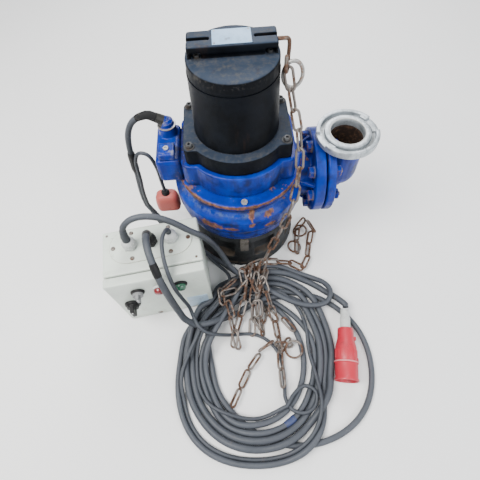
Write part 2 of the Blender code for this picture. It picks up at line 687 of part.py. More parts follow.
def placeInBox(item):
    item.data.transform(Matrix.Translation(BOX_PLACE) @ Matrix.Rotation(BOX_TURN, 4, "Z"))
    return item


def doorPiece(name, profile, x, z, material, sides=SOME_SIDES):
    """A turned piece that stands out of the door's face; heights run away from the door."""
    item = turned(name, profile, material, sides)
    aimed(item, (x, doorFace(), z), (0.0, -1.0, 0.0))
    return placeInBox(item)


def doorFace():
    return -(DOOR_SEAL + DOOR_THICKNESS)


def moving(item, x, z):
    """Put the piece's origin on the device's axis."""
    origin = boxPoint(x, doorFace(), z)
    item.data.transform(Matrix.Translation(-origin))
    item.location = origin
    return item


def buildBox(materials):
    paint = materials["boxPaint"]
    half = BOX_WIDTH / 2
    placeInBox(block("box_body", (-half, 0.0, 0.0), (half, BOX_DEPTH, BOX_HEIGHT), paint, BOX_ROUND, 2))
    placeInBox(block("door_seal", (-half + 0.006, -DOOR_SEAL + GAP, 0.006),
                     (half - 0.006, -GAP, BOX_HEIGHT - 0.006),
                     materials["rubber"]))
    placeInBox(block("box_door", (-half, doorFace(), 0.0005), (half, -DOOR_SEAL, BOX_HEIGHT + 0.001),
                     paint, 0.003, 2))
    plateOutline = roundedOutline(GLAND_PLATE_LENGTH / 2, GLAND_PLATE_WIDTH / 2,
                                  GLAND_PLATE_WIDTH / 2 - 0.001, 8,
                                  (0.0, GLAND_ROW_Y))
    plateBottom = BOX_HEIGHT + GAP
    plateTop = plateBottom + GLAND_PLATE_THICKNESS
    placeInBox(slab("gland_plate", plateOutline, plateBottom, plateTop, paint))
    glands = (("left", -1, "greyPlastic", PUMP_CABLE), ("middle", 0, "blackPlastic", SUPPLY_CABLE),
              ("right", 1, "greyPlastic", FLOAT_CABLE))
    for label, sign, finish, cable in glands:
        bottom = plateTop + GAP
        placeInBox(turned("box_gland_" + label, [
            (0.0150, bottom), (0.0150, bottom + 0.008), (0.0135, bottom + 0.010), (0.0130, bottom + 0.018),
            (cable / 2 + 0.0025, bottom + 0.024)], materials[finish], FEW_SIDES,
            (sign * BOX_GLAND_PITCH, GLAND_ROW_Y)))

    devices = (("selector", -DEVICE_PITCH), ("red_lamp", 0.0), ("green_lamp", DEVICE_PITCH))
    for label, x in devices:
        doorPiece(label + "_bezel", [(BEZEL_RADIUS, GAP), (BEZEL_RADIUS - 0.001, BEZEL_THICKNESS)], x,
                  DEVICE_HEIGHT,
                  materials["blackPlastic"])
    lensStart = BEZEL_THICKNESS + GAP
    for label, x, finish in (("red_lamp", 0.0, "redPlastic"), ("green_lamp", DEVICE_PITCH, "greenLens")):
        doorPiece(label + "_lens", [(KNOB_RADIUS, lensStart), (KNOB_RADIUS - 0.0015, lensStart + 0.007),
                                    (KNOB_RADIUS - 0.006, lensStart + 0.010)], x, DEVICE_HEIGHT,
                                    materials[finish])
    knob = doorPiece("selector_knob", [(KNOB_RADIUS, lensStart), (KNOB_RADIUS - 0.0005, lensStart + 0.006)],
                     -DEVICE_PITCH, DEVICE_HEIGHT, materials["greyPlastic"])
    grip = placeInBox(block("grip", (-DEVICE_PITCH - 0.0035, doorFace() - lensStart - 0.016,
                                     DEVICE_HEIGHT - 0.0105),
                            (-DEVICE_PITCH + 0.0035, doorFace() - lensStart - 0.004, DEVICE_HEIGHT + 0.0105),
                            materials["greyPlastic"], 0.001, 1))
    moving(fuse(knob, grip), -DEVICE_PITCH, DEVICE_HEIGHT)

    mainX, mainZ = MAIN_SWITCH
    doorPiece("main_switch_base", [(MAIN_SWITCH_RADIUS + 0.001, GAP), (MAIN_SWITCH_RADIUS, 0.006)], mainX,
              mainZ,
              materials["blackPlastic"])
    handleStart = 0.006 + GAP
    dial = doorPiece("main_switch_handle", [(0.0130, handleStart), (0.0125, handleStart + 0.006)], mainX,
                     mainZ,
                     materials["blackPlastic"])
    lever = placeInBox(block("lever", (mainX - 0.0045, doorFace() - handleStart - 0.020, mainZ - 0.0150),
                             (mainX + 0.0045, doorFace() - handleStart - 0.003, mainZ + 0.0120),
                             materials["blackPlastic"], 0.0015, 1))
    moving(fuse(dial, lever), mainX, mainZ)
    placeInBox(block("door_label", (0.0440, doorFace() - 0.0012, 0.0120), (0.0900, doorFace() - GAP, 0.0700),
                     materials["bluePlate"]))


def eggOutline(centre, semiAxes, egg, count=40):
    """An oval that grows narrower towards +Y."""
    points = []
    for index in range(count):
        angle = 2 * math.pi * index / count
        x = semiAxes[0] * math.cos(angle)
        y = semiAxes[1] * math.sin(angle)
        points.append((centre[0] + x * (1 - egg * y), centre[1] + y))
    return points


def buildCoil(materials):
    outer = eggOutline(COIL_CENTRE, COIL_OUTER, COIL_EGG)
    inner = eggOutline(COIL_HOLE_CENTRE, COIL_HOLE, COIL_HOLE_EGG)
    shape = bmesh.new()
    loops = []
    for outline, height in ((inner, GAP), (outer, GAP), (outer, COIL_HEIGHT), (inner, COIL_HEIGHT)):
        loops.append([Vector((x, y, height)) for x, y in outline])
    skinLoops(shape, loops, True)
    meshObject("cable_coil", shape, materials["cable"])


def glandExit(sign, lift=0.0245):
    return boxPoint(sign * BOX_GLAND_PITCH, GLAND_ROW_Y,
                    BOX_HEIGHT + GAP + GLAND_PLATE_THICKNESS + GAP + lift)


def besideRoute(route, distance, lean):
    """The route of a cord that keeps to one side of another."""
    points = [Vector(point) for point in route]
    result = []
    for index, point in enumerate(points):
        before = points[max(0, index - 1)]
        after = points[min(len(points) - 1, index + 1)]
        along = (after - before).normalized()
        side = (lean - lean.dot(along) * along).normalized()
        result.append(point + distance * side)
    return result


def buildCords(materials):
    grey = materials["cable"]
    noseEnd = Vector((*GLAND_CENTRE,
                      GLAND_BOSS_TOP + GAP + GLAND_RING_HEIGHT + 0.007)) + GLAND_AXIS * (0.0200 + GAP)
    alongBoth = [
        (-0.2290, 0.0200, 0.2480), (-0.2330, 0.0200, 0.2000), (-0.2400, 0.0210, 0.1450),
        (-0.2420, 0.0200, 0.0950),
        (-0.2340, 0.0120, 0.0520), (-0.2120, -0.0080, 0.0230), (-0.1850, -0.0320, 0.0150),
        (-0.1500, -0.0560, 0.0150),
        (-0.1230, -0.0740, 0.0158), (-0.0939, -0.0977, 0.0172), (-0.0700, -0.1210, 0.0165),
        (-0.0420, -0.1460, 0.0120),
        (-0.0290, -0.1620, 0.0100)]
    cord("pump_cable_from_pump", [
        noseEnd, noseEnd + GLAND_AXIS * 0.012, (-0.1800, 0.0240, 0.3640), (-0.2020, 0.0235, 0.3500),
        (-0.2170, 0.0220, 0.3230), (-0.2250, 0.0210, 0.2880)] + alongBoth, PUMP_CABLE, grey)
    floatTop = Vector((*FLOAT_CENTRE, FLOAT_COLLAR_TOP + GAP))
    beside = besideRoute(alongBoth, BESIDE_PUMP_CABLE, Vector((0.45, -0.55, 0.70)))
    cord("float_cable_to_float", [
        floatTop, floatTop + Vector((0.0, 0.0, 0.010)), (-0.1780, 0.0000, 0.2000), (-0.1782, 0.0010, 0.2400),
        (-0.1850, 0.0030, 0.2740), (-0.2000, 0.0070, 0.2860), (-0.2130, 0.0095, 0.2740)] + beside,
        FLOAT_CABLE, grey)
    leftGland = glandExit(-1)
    cord("pump_cable_to_box", [
        leftGland, leftGland + Vector((0.0, 0.0, 0.012)), (-0.2290, -0.1610, 0.2650),
        (-0.2060, -0.1560, 0.2850),
        (-0.1720, -0.1540, 0.2850), (-0.1400, -0.1550, 0.2650), (-0.1090, -0.1580, 0.2320),
        (-0.0800, -0.1570, 0.1950),
        (-0.0600, -0.1560, 0.1420), (-0.0450, -0.1640, 0.0980), (-0.0300, -0.1760, 0.0640),
        (-0.0160, -0.1860, 0.0520),
        (-0.0020, -0.1950, 0.0492)],
        PUMP_CABLE, grey)
    middleGland = glandExit(0)
    cord("supply_cable_from_box", [
        middleGland, middleGland + Vector((0.0, 0.0, 0.008)), (-0.1900, -0.1700, 0.2450),
        (-0.1860, -0.1900, 0.2540),
        (-0.1800, -0.2140, 0.2500), (-0.1720, -0.2380, 0.2340), (-0.1640, -0.2580, 0.2060),
        (-0.1560, -0.2720, 0.1650),
        (-0.1480, -0.2820, 0.1150), (-0.1380, -0.2900, 0.0740), (-0.1220, -0.2980, 0.0560),
        (-0.1050, -0.3050, 0.0502),
        (-0.0850, -0.3120, 0.0500)],
        SUPPLY_CABLE, grey)
    rightGland = glandExit(1)
    cord("float_cable_from_box", [
        rightGland, rightGland + Vector((0.0, 0.0, 0.006)), (-0.1540, -0.1600, 0.2420),
        (-0.1580, -0.1760, 0.2440),
        (-0.1590, -0.1960, 0.2400), (-0.1560, -0.2200, 0.2300), (-0.1500, -0.2430, 0.2120),
        (-0.1450, -0.2560, 0.1750),
        (-0.1380, -0.2610, 0.1300), (-0.1280, -0.2620, 0.0900), (-0.1120, -0.2680, 0.0580),
        (-0.0940, -0.2750, 0.0480),
        (-0.0760, -0.2820, 0.0465)],
        FLOAT_CABLE, grey)
    cord("supply_cable_to_plug", [
        PLUG_START - PLUG_AXIS * GAP, PLUG_START - PLUG_AXIS * 0.0080, (0.2200, -0.2560, 0.0255),
        (0.2115, -0.2395, 0.0205), (0.1920, -0.2180, 0.0120),
        (0.1560, -0.1960, 0.0078), (0.1300, -0.1960, 0.0078),
        (0.1090, -0.2040, 0.0078), (0.0960, -0.2130, 0.0078)], SUPPLY_CABLE, grey)


def buildPlug(materials):
    nut = turned("plug_nut", [(0.0092, 0.0), (0.0102, 0.008), (0.0112, PLUG_NUT_LENGTH)],
                 materials["greyPlastic"],
                 FEW_SIDES)
    aimed(nut, PLUG_START, PLUG_AXIS)
    body = turned("plug_body", [(0.0165, 0.0), (0.0172, 0.003), (0.0178, 0.022), (0.0215, 0.036),
                                (0.0228, 0.044),
                                (0.0232, PLUG_BODY_LENGTH)], materials["redPlastic"], SOME_SIDES)
    bodyStart = PLUG_START + PLUG_AXIS * (PLUG_NUT_LENGTH + GAP)
    aimed(body, bodyStart, PLUG_AXIS)
    front = turned("plug_front", [(0.0248, 0.0), (0.0255, 0.001), (0.0255, 0.004), (0.0238, 0.005),
                                  (0.0235, 0.034),
                                  (0.0250, 0.036), (0.0250, PLUG_FRONT_LENGTH)], materials["redPlastic"],
                                  SOME_SIDES)
    aimed(front, bodyStart + PLUG_AXIS * (PLUG_BODY_LENGTH + GAP), PLUG_AXIS)


def buildFloat(materials):
    shape = bmesh.new()
    rows = ((0.0240, 0.0140, FLOAT_BOTTOM), (0.0280, 0.0180, FLOAT_BOTTOM + 0.006),
            (0.0280, 0.0180, FLOAT_TOP - 0.028),
            (0.0200, 0.0165, FLOAT_TOP - 0.008), (0.0130, 0.0120, FLOAT_TOP))
    skinLoops(shape, [[Vector((x, y, height)) for x, y in roundedOutline(halfX, halfY,
                                                                         min(halfX, halfY) * 0.6, 3,
                                                                          FLOAT_CENTRE)]
                      for halfX, halfY, height in rows])
    meshObject("float_body", shape, materials["salmonPlastic"])
    turned("float_collar", [(0.0095, FLOAT_TOP + GAP), (0.0095, FLOAT_COLLAR_TOP - 0.003),
                            (0.0065, FLOAT_COLLAR_TOP)],
           materials["blackPlastic"], FEW_SIDES, FLOAT_CENTRE)


def main():
    clearScene()
    materials = makeMaterials()
    buildStand(materials)
    buildVolute(materials)
    buildDischarge(materials)
    buildCoupling(materials)
    buildChamber(materials)
    buildMotor(materials)
    buildChain(materials)
    buildBox(materials)
    buildCoil(materials)
    buildPlug(materials)
    buildFloat(materials)
    buildCords(materials)


main()
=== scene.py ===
import math

import bmesh
import bpy
from mathutils import Matrix, Vector


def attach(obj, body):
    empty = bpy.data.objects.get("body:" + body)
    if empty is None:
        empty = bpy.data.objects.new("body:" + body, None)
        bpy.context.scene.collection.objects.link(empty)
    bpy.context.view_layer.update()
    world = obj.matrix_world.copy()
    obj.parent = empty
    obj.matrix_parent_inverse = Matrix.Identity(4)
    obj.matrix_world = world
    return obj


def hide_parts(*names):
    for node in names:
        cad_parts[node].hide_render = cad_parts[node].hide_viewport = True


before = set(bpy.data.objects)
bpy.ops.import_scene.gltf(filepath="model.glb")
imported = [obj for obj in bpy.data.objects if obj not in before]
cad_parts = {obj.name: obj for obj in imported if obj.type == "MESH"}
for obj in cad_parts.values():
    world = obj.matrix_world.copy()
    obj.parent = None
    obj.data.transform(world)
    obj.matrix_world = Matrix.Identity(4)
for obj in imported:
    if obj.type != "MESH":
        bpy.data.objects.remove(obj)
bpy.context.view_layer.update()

pumpBody = "pump_set"
up = Vector((0.0, 0.0, 1.0))
round360 = 2 * math.pi
floorGap = 0.0002  # the least height of a cable or a link over the floor


def tenths(*points):  # points and profiles given in tenths of a millimetre
    return tuple(tuple(part / 10000 for part in point) for point in points)


viewPoint = {  # where the photograph was taken from
    "place": (-0.0094, -0.529, 0.843),
    "right": (0.99737, -0.06335, -0.03533),
    "up": (0.07254, 0.871, 0.48582),
    "back": (0.0, -0.4871, 0.8733),
    "lens": 27.13,
    "film": 36.0,
}


def addObject(name, data):
    made = bpy.data.objects.new(name, data)
    bpy.context.scene.collection.objects.link(made)
    return made


def makeCamera(settings):
    lens = bpy.data.cameras.new("photoCamera")
    lens.lens = settings["lens"]
    lens.sensor_width = settings["film"]
    lens.clip_start = 0.01
    camera = addObject("photoCamera", lens)
    turn = Matrix((settings["right"], settings["up"], settings["back"])).transposed()
    camera.matrix_world = Matrix.Translation(settings["place"]) @ turn.to_4x4()
    bpy.context.scene.camera = camera
    bpy.context.view_layer.update()


studio = {  # the light and the floor
    "skyColour": (0.93, 0.96, 1.0, 1.0),
    "skyStrength": 0.62,
    "floorColour": (0.93, 0.93, 0.925),
    "floorHalf": 4.0,
    "floorTop": -0.0004,
    "lamps": (  # name, place, size, watts, colour
        ("keyLight", (-0.9, -0.5, 1.9), 1.3, 66.0, (1.0, 0.98, 0.95)),
        ("fillLight", (1.3, -1.2, 1.5), 1.6, 30.0, (0.94, 0.97, 1.0)),
        ("backLight", (0.3, 1.5, 1.6), 1.2, 36.0, (1.0, 1.0, 1.0)),
    ),
    "aim": (0.0, -0.15, 0.15),
}


def makeStudio(settings):
    world = bpy.data.worlds.new("studioSky")
    world.use_nodes = True
    sky = world.node_tree.nodes["Background"]
    sky.inputs["Color"].default_value = settings["skyColour"]
    sky.inputs["Strength"].default_value = settings["skyStrength"]
    bpy.context.scene.world = world
    for name, place, size, watts, colour in settings["lamps"]:
        light = bpy.data.lights.new(name, "AREA")
        light.shape = "DISK"
        light.size = size
        light.energy = watts
        light.color = colour
        aim = Vector(settings["aim"]) - Vector(place)
        turn = aim.to_track_quat("-Z", "Y").to_matrix().to_4x4()
        addObject(name, light).matrix_world = Matrix.Translation(place) @ turn
    half, top = settings["floorHalf"], settings["floorTop"]
    shape = bmesh.new()
    corners = ((-1, -1), (1, -1), (1, 1), (-1, 1))
    shape.faces.new([shape.verts.new((x * half, y * half, top)) for x, y in corners])
    finish = Finish("paleFloor", settings["floorColour"])
    finish.over(finish.noise(6.0), tuple(part * 0.97 for part in settings["floorColour"]))
    meshPiece("studioFloor", shape, finish.done(0.9))


class Socket:  # one output of a node, ready for sums
    def __init__(self, owner, socket):
        self.owner = owner
        self.socket = socket

    def sum(self, operation, first, second=0.0):
        return self.owner.give("ShaderNodeMath", {0: first, 1: second}, operation=operation)

    def __add__(self, other):
        return self.sum("ADD", self, other)

    def __radd__(self, other):
        return self.sum("ADD", other, self)

    def __sub__(self, other):
        return self.sum("SUBTRACT", self, other)

    def __rsub__(self, other):
        return self.sum("SUBTRACT", other, self)

    def __mul__(self, other):
        return self.sum("MULTIPLY", self, other)

    def __truediv__(self, other):
        return self.sum("DIVIDE", self, other)

    def higher(self, other):
        return self.sum("MAXIMUM", self, other)

    def taken(self, operation):
        return self.sum(operation, self)


class Nodes:  # a node tree, fed with plain values and with sockets
    def __init__(self, tree):
        self.tree = tree

    def feed(self, target, value):
        if isinstance(value, Socket):
            self.tree.links.new(value.socket, target)
        elif target.type == "RGBA":
            target.default_value = (*value, 1.0)
        else:
            target.default_value = value

    def add(self, kind, values=None, **settings):  # all outputs of a new node
        node = self.tree.nodes.new(kind)
        for key, value in settings.items():
            setattr(node, key, value)
        for key, value in (values or {}).items():
            self.feed(node.inputs[key], value)
        return node.outputs

    def give(self, kind, values=None, output=0, **settings):  # one of them
        return Socket(self, self.add(kind, values, **settings)[output])


class Finish(Nodes):  # one material, and the colour that its layers build up
    def __init__(self, name, colour):
        self.material = bpy.data.materials.new(name)
        self.material.use_nodes = True
        super().__init__(self.material.node_tree)
        self.where = self.give("ShaderNodeTexCoord", output="Object")
        self.parts = self.add("ShaderNodeSeparateXYZ", {0: self.where})
        self.colour = colour

    def along(self, axis):
        return Socket(self, self.parts[axis])

    def noise(self, scale, detail=4.0, roughness=0.55, stretch=(1.0, 1.0, 1.0), twist=0.0):
        mapped = self.give("ShaderNodeMapping", {"Vector": self.where, "Scale": stretch})
        values = {"Vector": mapped, "Scale": scale, "Detail": detail, "Roughness": roughness,
                  "Distortion": twist}
        return self.give("ShaderNodeTexNoise", values)

    def rise(self, value, low, high):  # 0 below low and 1 above high
        values = {"Value": value, "From Min": low, "From Max": high}
        return self.give("ShaderNodeMapRange", values, interpolation_type="SMOOTHSTEP")

    def near(self, value, middle, reach):  # 1 at the middle, 0 further away than the reach
        return self.rise((value - middle).taken("ABSOLUTE"), reach, 0.0)

    def fromAxis(self, x, y):  # how far a point is from an upright axis
        flat = self.give("ShaderNodeCombineXYZ", {0: self.along("X"), 1: self.along("Y")})
        return self.give("ShaderNodeVectorMath", {0: flat, 1: (x, y, 0.0)}, "Value", operation="DISTANCE")

    def blend(self, factor, first, second):
        return self.give("ShaderNodeMix", {0: factor, 6: first, 7: second}, 2, data_type="RGBA")

    def over(self, factor, colour):  # one more layer of colour
        self.colour = self.blend(factor, self.colour, colour)

    def edges(self, radius, low=0.02, high=0.25):  # 1 on sharp edges
        rounded = self.give("ShaderNodeBevel", {"Radius": radius}, samples=4)
        true = self.give("ShaderNodeNewGeometry", output="Normal")
        alike = self.give("ShaderNodeVectorMath", {0: rounded, 1: true}, "Value", operation="DOT_PRODUCT")
        return self.rise(1.0 - alike, low, high)

    def facingUp(self, low=0.4, high=0.95):
        normal = self.give("ShaderNodeNewGeometry", output="Normal")
        return self.rise(self.give("ShaderNodeSeparateXYZ", {0: normal}, "Z"), low, high)

    def done(self, roughness, skin=None, depth=0.0, strength=1.0, **others):  # skin is the grain's height
        values = {"Base Color": self.colour, "Roughness": roughness}
        if skin:
            bump = {"Height": skin, "Distance": depth, "Strength": strength}
            values["Normal"] = self.give("ShaderNodeBump", bump)
        labels = {"metal": "Metallic", "coat": "Coat Weight", "shine": "Specular IOR Level"}
        values.update((labels[name], value) for name, value in others.items())
        for label, value in values.items():
            self.feed(self.tree.nodes["Principled BSDF"].inputs[label], value)
        return self.material


castingPaint = {
    "blue": (0.0008, 0.018, 0.24),
    "faded": (0.002, 0.046, 0.4),
    "chalk": (0.1, 0.15, 0.3),
    "navy": (0.0016, 0.007, 0.042),
    "rust": (0.11, 0.045, 0.018),
    "paleRust": (0.26, 0.125, 0.062),
    "grime": (0.018, 0.017, 0.017),
    "bareMetal": (0.21, 0.215, 0.22),
    "soot": (0.014, 0.011, 0.009),
    "seal": (0.03, 0.029, 0.026),
    # rust scale inside the bore, darkened as painted shade
    "scale": (0.02, 0.012, 0.009),
    "paleScale": (0.09, 0.048, 0.028),
    "grooves": ((0.2375, 0.0072), (0.178, 0.005), (0.142, 0.0048)),  # height, reach
    "joints": ((0.2545, 0.006), (0.315, 0.0036)),
    "lip": (0.2515, 0.0095),
    # height and reach of the painted highlight along the bulge of the wall
    "paleBand": (0.226, 0.0075),
    "drips": (0.235, 0.03),
    "wall": (0.152, 0.148),
    "rustPatches": tenths(  # x, z, half length, half height on the front of the wall
        (-640, 1975, 400, 170), (-240, 1930, 360, 110), (180, 2280, 110, 260), (176, 2050, 120, 130),
        (514, 2210, 220, 100), (551, 1915, 240, 110)),
    "besideMotor": ((-0.132, -0.112), (-0.098, -0.108)),  # where x starts and ends
    "sealTip": (0.3042, 0.305),
    "tipWay": (-0.85, 0.5268),
}


def highest(sockets):
    top = None
    for socket in sockets:
        top = top.higher(socket) if top else socket
    return top


def castingBlue(name, look, rustLevel=0.6, boreOf=None, wear=0.0, sealed=False):
    finish = Finish(name, look["blue"])
    rise, near, over, noise = finish.rise, finish.near, finish.over, finish.noise
    patches = noise(14.0, 5.0, 0.6)
    fine = noise(130.0, 5.0, 0.65)
    runs = noise(60.0, 4.0, 0.6, (1.0, 1.0, 0.16))
    across, height = finish.along("X"), finish.along("Z")
    wall = rise(finish.fromAxis(0.0, 0.0), *look["wall"])
    upright = 1.0 - finish.facingUp(0.2, 0.8)
    over(rise(patches, 0.4, 0.7), look["faded"])
    # navy in random patches, stronger on upright faces as painted shade on the sides
    over(rise(noise(30.0, 4.0), 0.46, 0.7) * (0.45 + upright * 0.45), look["navy"])
    # grime runs, a touch stronger on upright faces as painted shade
    grime = rise(runs * 0.6 + patches * 0.5 + upright * 0.05, 0.53, 0.74)
    over(grime * 0.65, look["grime"])
    grooves = highest(near(height, middle, reach) for middle, reach in look["grooves"]) * wall
    # painted shade darkening the grooves, in the grime colour
    over(grooves * (0.35 + fine * 0.6), look["grime"])
    low, high = (near(height, middle, reach) for middle, reach in look["joints"])
    joints = low.higher(high * 0.45) * wall
    front = rise(finish.along("Y"), -0.03, -0.1) * wall
    lip = near(height, *look["lip"]) * front
    # painted highlight: a paler blue band along the bulge of the wall
    bulgeHighlight = near(height, *look["paleBand"]) * wall * rise(runs * 0.5 + fine * 0.5, 0.42, 0.6)
    over(bulgeHighlight * 0.55, look["chalk"])
    edge = finish.edges(0.0028, 0.015, 0.12)
    scraped = highest(near(across, x, halfLong) * near(height, z, halfHigh)
                      for x, z, halfLong, halfHigh in look["rustPatches"])
    lying = finish.facingUp(0.6, 0.95)
    drips = rise(noise(75.0, 3.0, 0.5, (1.0, 1.0, 0.1)), 0.6, 0.7) * near(height, *look["drips"])
    rust = rise(patches * 0.5 + fine * 0.5 + edge * 0.08 + joints * 0.2 + lip * 0.2 + scraped * front * 0.34
                + drips * 0.15 * wall - lying * 0.07, rustLevel, rustLevel + 0.08)
    over(rust * 0.9, finish.blend(rise(fine, 0.4, 0.7), look["rust"], look["paleRust"]))
    starts, ends = look["besideMotor"]
    # near-black patches painted into the corner beside the motor, above z 0.29
    corner = rise(across, *starts) * rise(across, *ends) * rise(height, 0.29, 0.318)
    over(corner * rise(patches * 0.5 + fine * 0.5, 0.4, 0.52) * 0.85, look["soot"])
    scuffs = rise(edge * 0.35 + noise(75.0, 6.0, 0.7) * 0.8 + wear, 0.64, 0.76)
    over(scuffs * 0.7, look["bareMetal"])
    if sealed:  # the rubber seal at the end of the cable gland
        acrossTip, upTip = look["tipWay"]
        over(rise(across * acrossTip + height * upTip, *look["sealTip"]), look["seal"])
    if boreOf:  # the scaled inside of the pipe, its rust scale darkened as painted shade
        x, y, radius = boreOf
        inside = rise(finish.fromAxis(x, y), radius + 0.0012, radius)
        over(inside, finish.blend(rise(fine, 0.45, 0.75), look["scale"], look["paleScale"]))
        rust = rust.higher(inside)
    skin = noise(420.0, 3.0, 0.6) * 0.35 + patches * 0.5 + rust * 0.35 - scuffs * 0.1 - grooves * 2.2
    return finish.done(0.34 + rust * 0.45 + grime * 0.22, skin, 0.0011, 0.55, coat=0.03, shine=0.2)


motorPaint = {
    "black": (0.0032, 0.0036, 0.0046),
    "slate": (0.032, 0.045, 0.07),
    "dust": (0.095, 0.088, 0.078),
    "rust": (0.038, 0.02, 0.012),
    "worn": (0.15, 0.155, 0.158),
    "seam": (0.47, 0.009),
    "rim": (0.488, 0.011),
}


def motorBlack(name, look, dustShare=1.0):
    finish = Finish(name, look["black"])
    rise, near, over, noise = finish.rise, finish.near, finish.over, finish.noise
    patches = noise(17.0, 5.0, 0.6)
    fine = noise(160.0, 5.0, 0.6)
    offSeam = 1.0 - near(finish.along("Z"), *look["seam"])
    lying = finish.facingUp() * offSeam
    over(rise(patches, 0.35, 0.7) * 0.1, look["slate"])
    # painted light: faces that face up turn lighter slate, as the sky lights them
    over(lying * (0.45 + patches * 0.5) * dustShare, look["slate"])
    dust = rise(lying * 0.22 + noise(70.0, 6.0, 0.7) * 0.6 + fine * 0.3, 0.62, 0.82)
    # a lighter band in the dust colour, painted round the cap's rim at z 0.488
    rim = near(finish.along("Z"), *look["rim"]) * rise(patches * 0.6 + fine * 0.4, 0.5, 0.6)
    dust = dust.higher(rim * 0.8)
    over(dust * 0.42 * dustShare, look["dust"])
    runs = rise(noise(40.0, 5.0, 0.6, (1.0, 1.0, 0.12)), 0.58, 0.74)
    over(runs * 0.42, look["rust"])
    worn = rise(finish.edges(0.0022, 0.02, 0.16) * offSeam * 0.42 + noise(90.0, 6.0, 0.7) * 0.75, 0.66, 0.8)
    over(worn * 0.75, look["worn"])
    skin = noise(380.0, 3.0, 0.6) * 0.4 + patches * 0.3 - worn * 0.15
    return finish.done(0.46 + dust * 0.3 + runs * 0.2, skin, 0.0007, 0.5, shine=0.05)


dustyCasting = {
    "black": (0.008, 0.009, 0.01),
    "grey": (0.052, 0.055, 0.058),
    "earth": (0.1, 0.074, 0.052),
    "worn": (0.3, 0.29, 0.28),
}


def dustyIron(name, look):
    finish = Finish(name, look["black"])
    splash = finish.noise(55.0, 7.0, 0.7)
    finish.over(finish.rise(finish.noise(11.0, 5.0, 0.65), 0.35, 0.68), look["grey"])
    earth = finish.rise(splash * 0.9 + finish.facingUp() * 0.2 - finish.along("Z") * 1.2, 0.47, 0.66)
    finish.over(earth * 0.6, look["earth"])
    finish.over(finish.edges(0.0025, 0.03, 0.2) * finish.rise(splash, 0.45, 0.65) * 0.5, look["worn"])
    skin = finish.noise(300.0, 4.0, 0.65) * 0.6 + splash * 0.6
    return finish.done(0.68 + earth * 0.2, skin, 0.0012, 0.7, shine=0.2)


castMetals = {  # name: light, dark, stain, metal, stain level, roughness
    "castAluminium": ((0.51, 0.55, 0.58), (0.26, 0.29, 0.31), (0.075, 0.07, 0.062), 0.7, 0.62, 0.36),
    "zincSteel": ((0.52, 0.51, 0.49), (0.26, 0.25, 0.24), (0.22, 0.12, 0.07), 0.8, 0.52, 0.36),
    # the rating plate's bluish grey is a painted sky reflection on bare metal
    "brightPlate": ((0.19, 0.33, 0.5), (0.15, 0.27, 0.42), (0.18, 0.17, 0.16), 0.12, 0.6, 0.3),
    "dulledSteel": ((0.075, 0.078, 0.082), (0.022, 0.023, 0.025), (0.05, 0.035, 0.025), 0.4, 0.5, 0.5),
}
# painted shade and dirt in the coupling's recess
grooveShadeAndDirt = {"place": (0.2225, 0.0), "middle": 0.0508, "reach": 0.0062, "top": 0.3046}


def bareMetal(name, look, groove=None):
    light, dark, stainColour, metal, stainLevel, roughness = look
    finish = Finish(name, light)
    broad = finish.noise(35.0, 5.0, 0.6)
    scratch = finish.noise(120.0, 4.0, 0.6, (1.0, 0.14, 1.0))
    finish.over(finish.rise(broad * 0.6 + scratch * 0.4, 0.4, 0.66), dark)
    stain = finish.rise(finish.noise(70.0, 6.0, 0.7), stainLevel, stainLevel + 0.12)
    finish.over(stain * 0.75, stainColour)
    if groove:  # painted shade and dirt in a ring-shaped groove
        held = finish.near(finish.fromAxis(*groove["place"]), groove["middle"], groove["reach"])
        held = held * finish.rise(finish.along("Z"), groove["top"] + 0.0012, groove["top"])
        finish.over(held * (0.25 + broad * 0.7), stainColour)
    skin = scratch * 0.4 + finish.noise(500.0, 2.0) * 0.3 + stain * 0.3
    return finish.done(roughness + broad * 0.15 + stain * 0.35, skin, 0.0004, 0.5, metal=metal - stain * 0.6)


rustyLook = {
    "deep": (0.048, 0.026, 0.017),
    "warm": (0.15, 0.072, 0.04),
    "pale": (0.29, 0.2, 0.145),
    "steel": (0.24, 0.222, 0.205),
}


def rustySteel(name, look, bareShare):
    finish = Finish(name, look["deep"])
    broad = finish.noise(38.0, 5.0, 0.6)
    grain = finish.noise(260.0, 6.0, 0.7)
    finish.over(finish.rise(grain * 0.6 + broad * 0.4, 0.36, 0.6), look["warm"])
    finish.over(finish.rise(grain, 0.58, 0.72) * 0.8, look["pale"])
    bare = finish.rise(broad * 0.8 + finish.noise(140.0, 4.0) * 0.2, bareShare, bareShare + 0.09)
    finish.over(bare * 0.8, look["steel"])
    return finish.done(0.86 - bare * 0.38, grain + broad * 0.4, 0.0006, 0.8, metal=bare * 0.7)


jacketLook = {
    "black": (0.012, 0.014, 0.018),
    "grey": (0.082, 0.091, 0.108),
    "mud": (0.16, 0.128, 0.096),
    "scuff": (0.22, 0.228, 0.236),
}


def cableJacket(name, look, paleness):
    finish = Finish(name, look["black"])
    broad = finish.noise(16.0, 5.0, 0.6)
    marks = finish.noise(150.0, 5.0, 0.65)
    # painted light: the up-facing side of the jacket lighter grey, along with dust
    dustAndTopLight = finish.facingUp(-0.1, 0.9) * (0.35 + paleness * 0.6)
    finish.over(broad * 0.55 + marks * 0.35 + dustAndTopLight * 0.66 - 0.16, look["grey"])
    mud = finish.rise(finish.noise(48.0, 6.0, 0.7) * 0.8 + marks * 0.25, 0.62, 0.76)
    finish.over(mud * 0.45, look["mud"])
    finish.over(finish.rise(marks, 0.64, 0.76) * 0.45, look["scuff"])
    skin = marks * 0.5 + finish.noise(700.0, 2.0) * 0.4
    return finish.done(0.44 + mud * 0.3 + broad * 0.12, skin, 0.0003, 0.5, shine=0.32)


boxLook = {
    "pale": (0.69, 0.755, 0.68),
    "shade": (0.56, 0.61, 0.555),
    "smear": (0.3, 0.285, 0.24),
    "scratch": (0.11, 0.105, 0.095),
    "rust": (0.23, 0.11, 0.055),
}


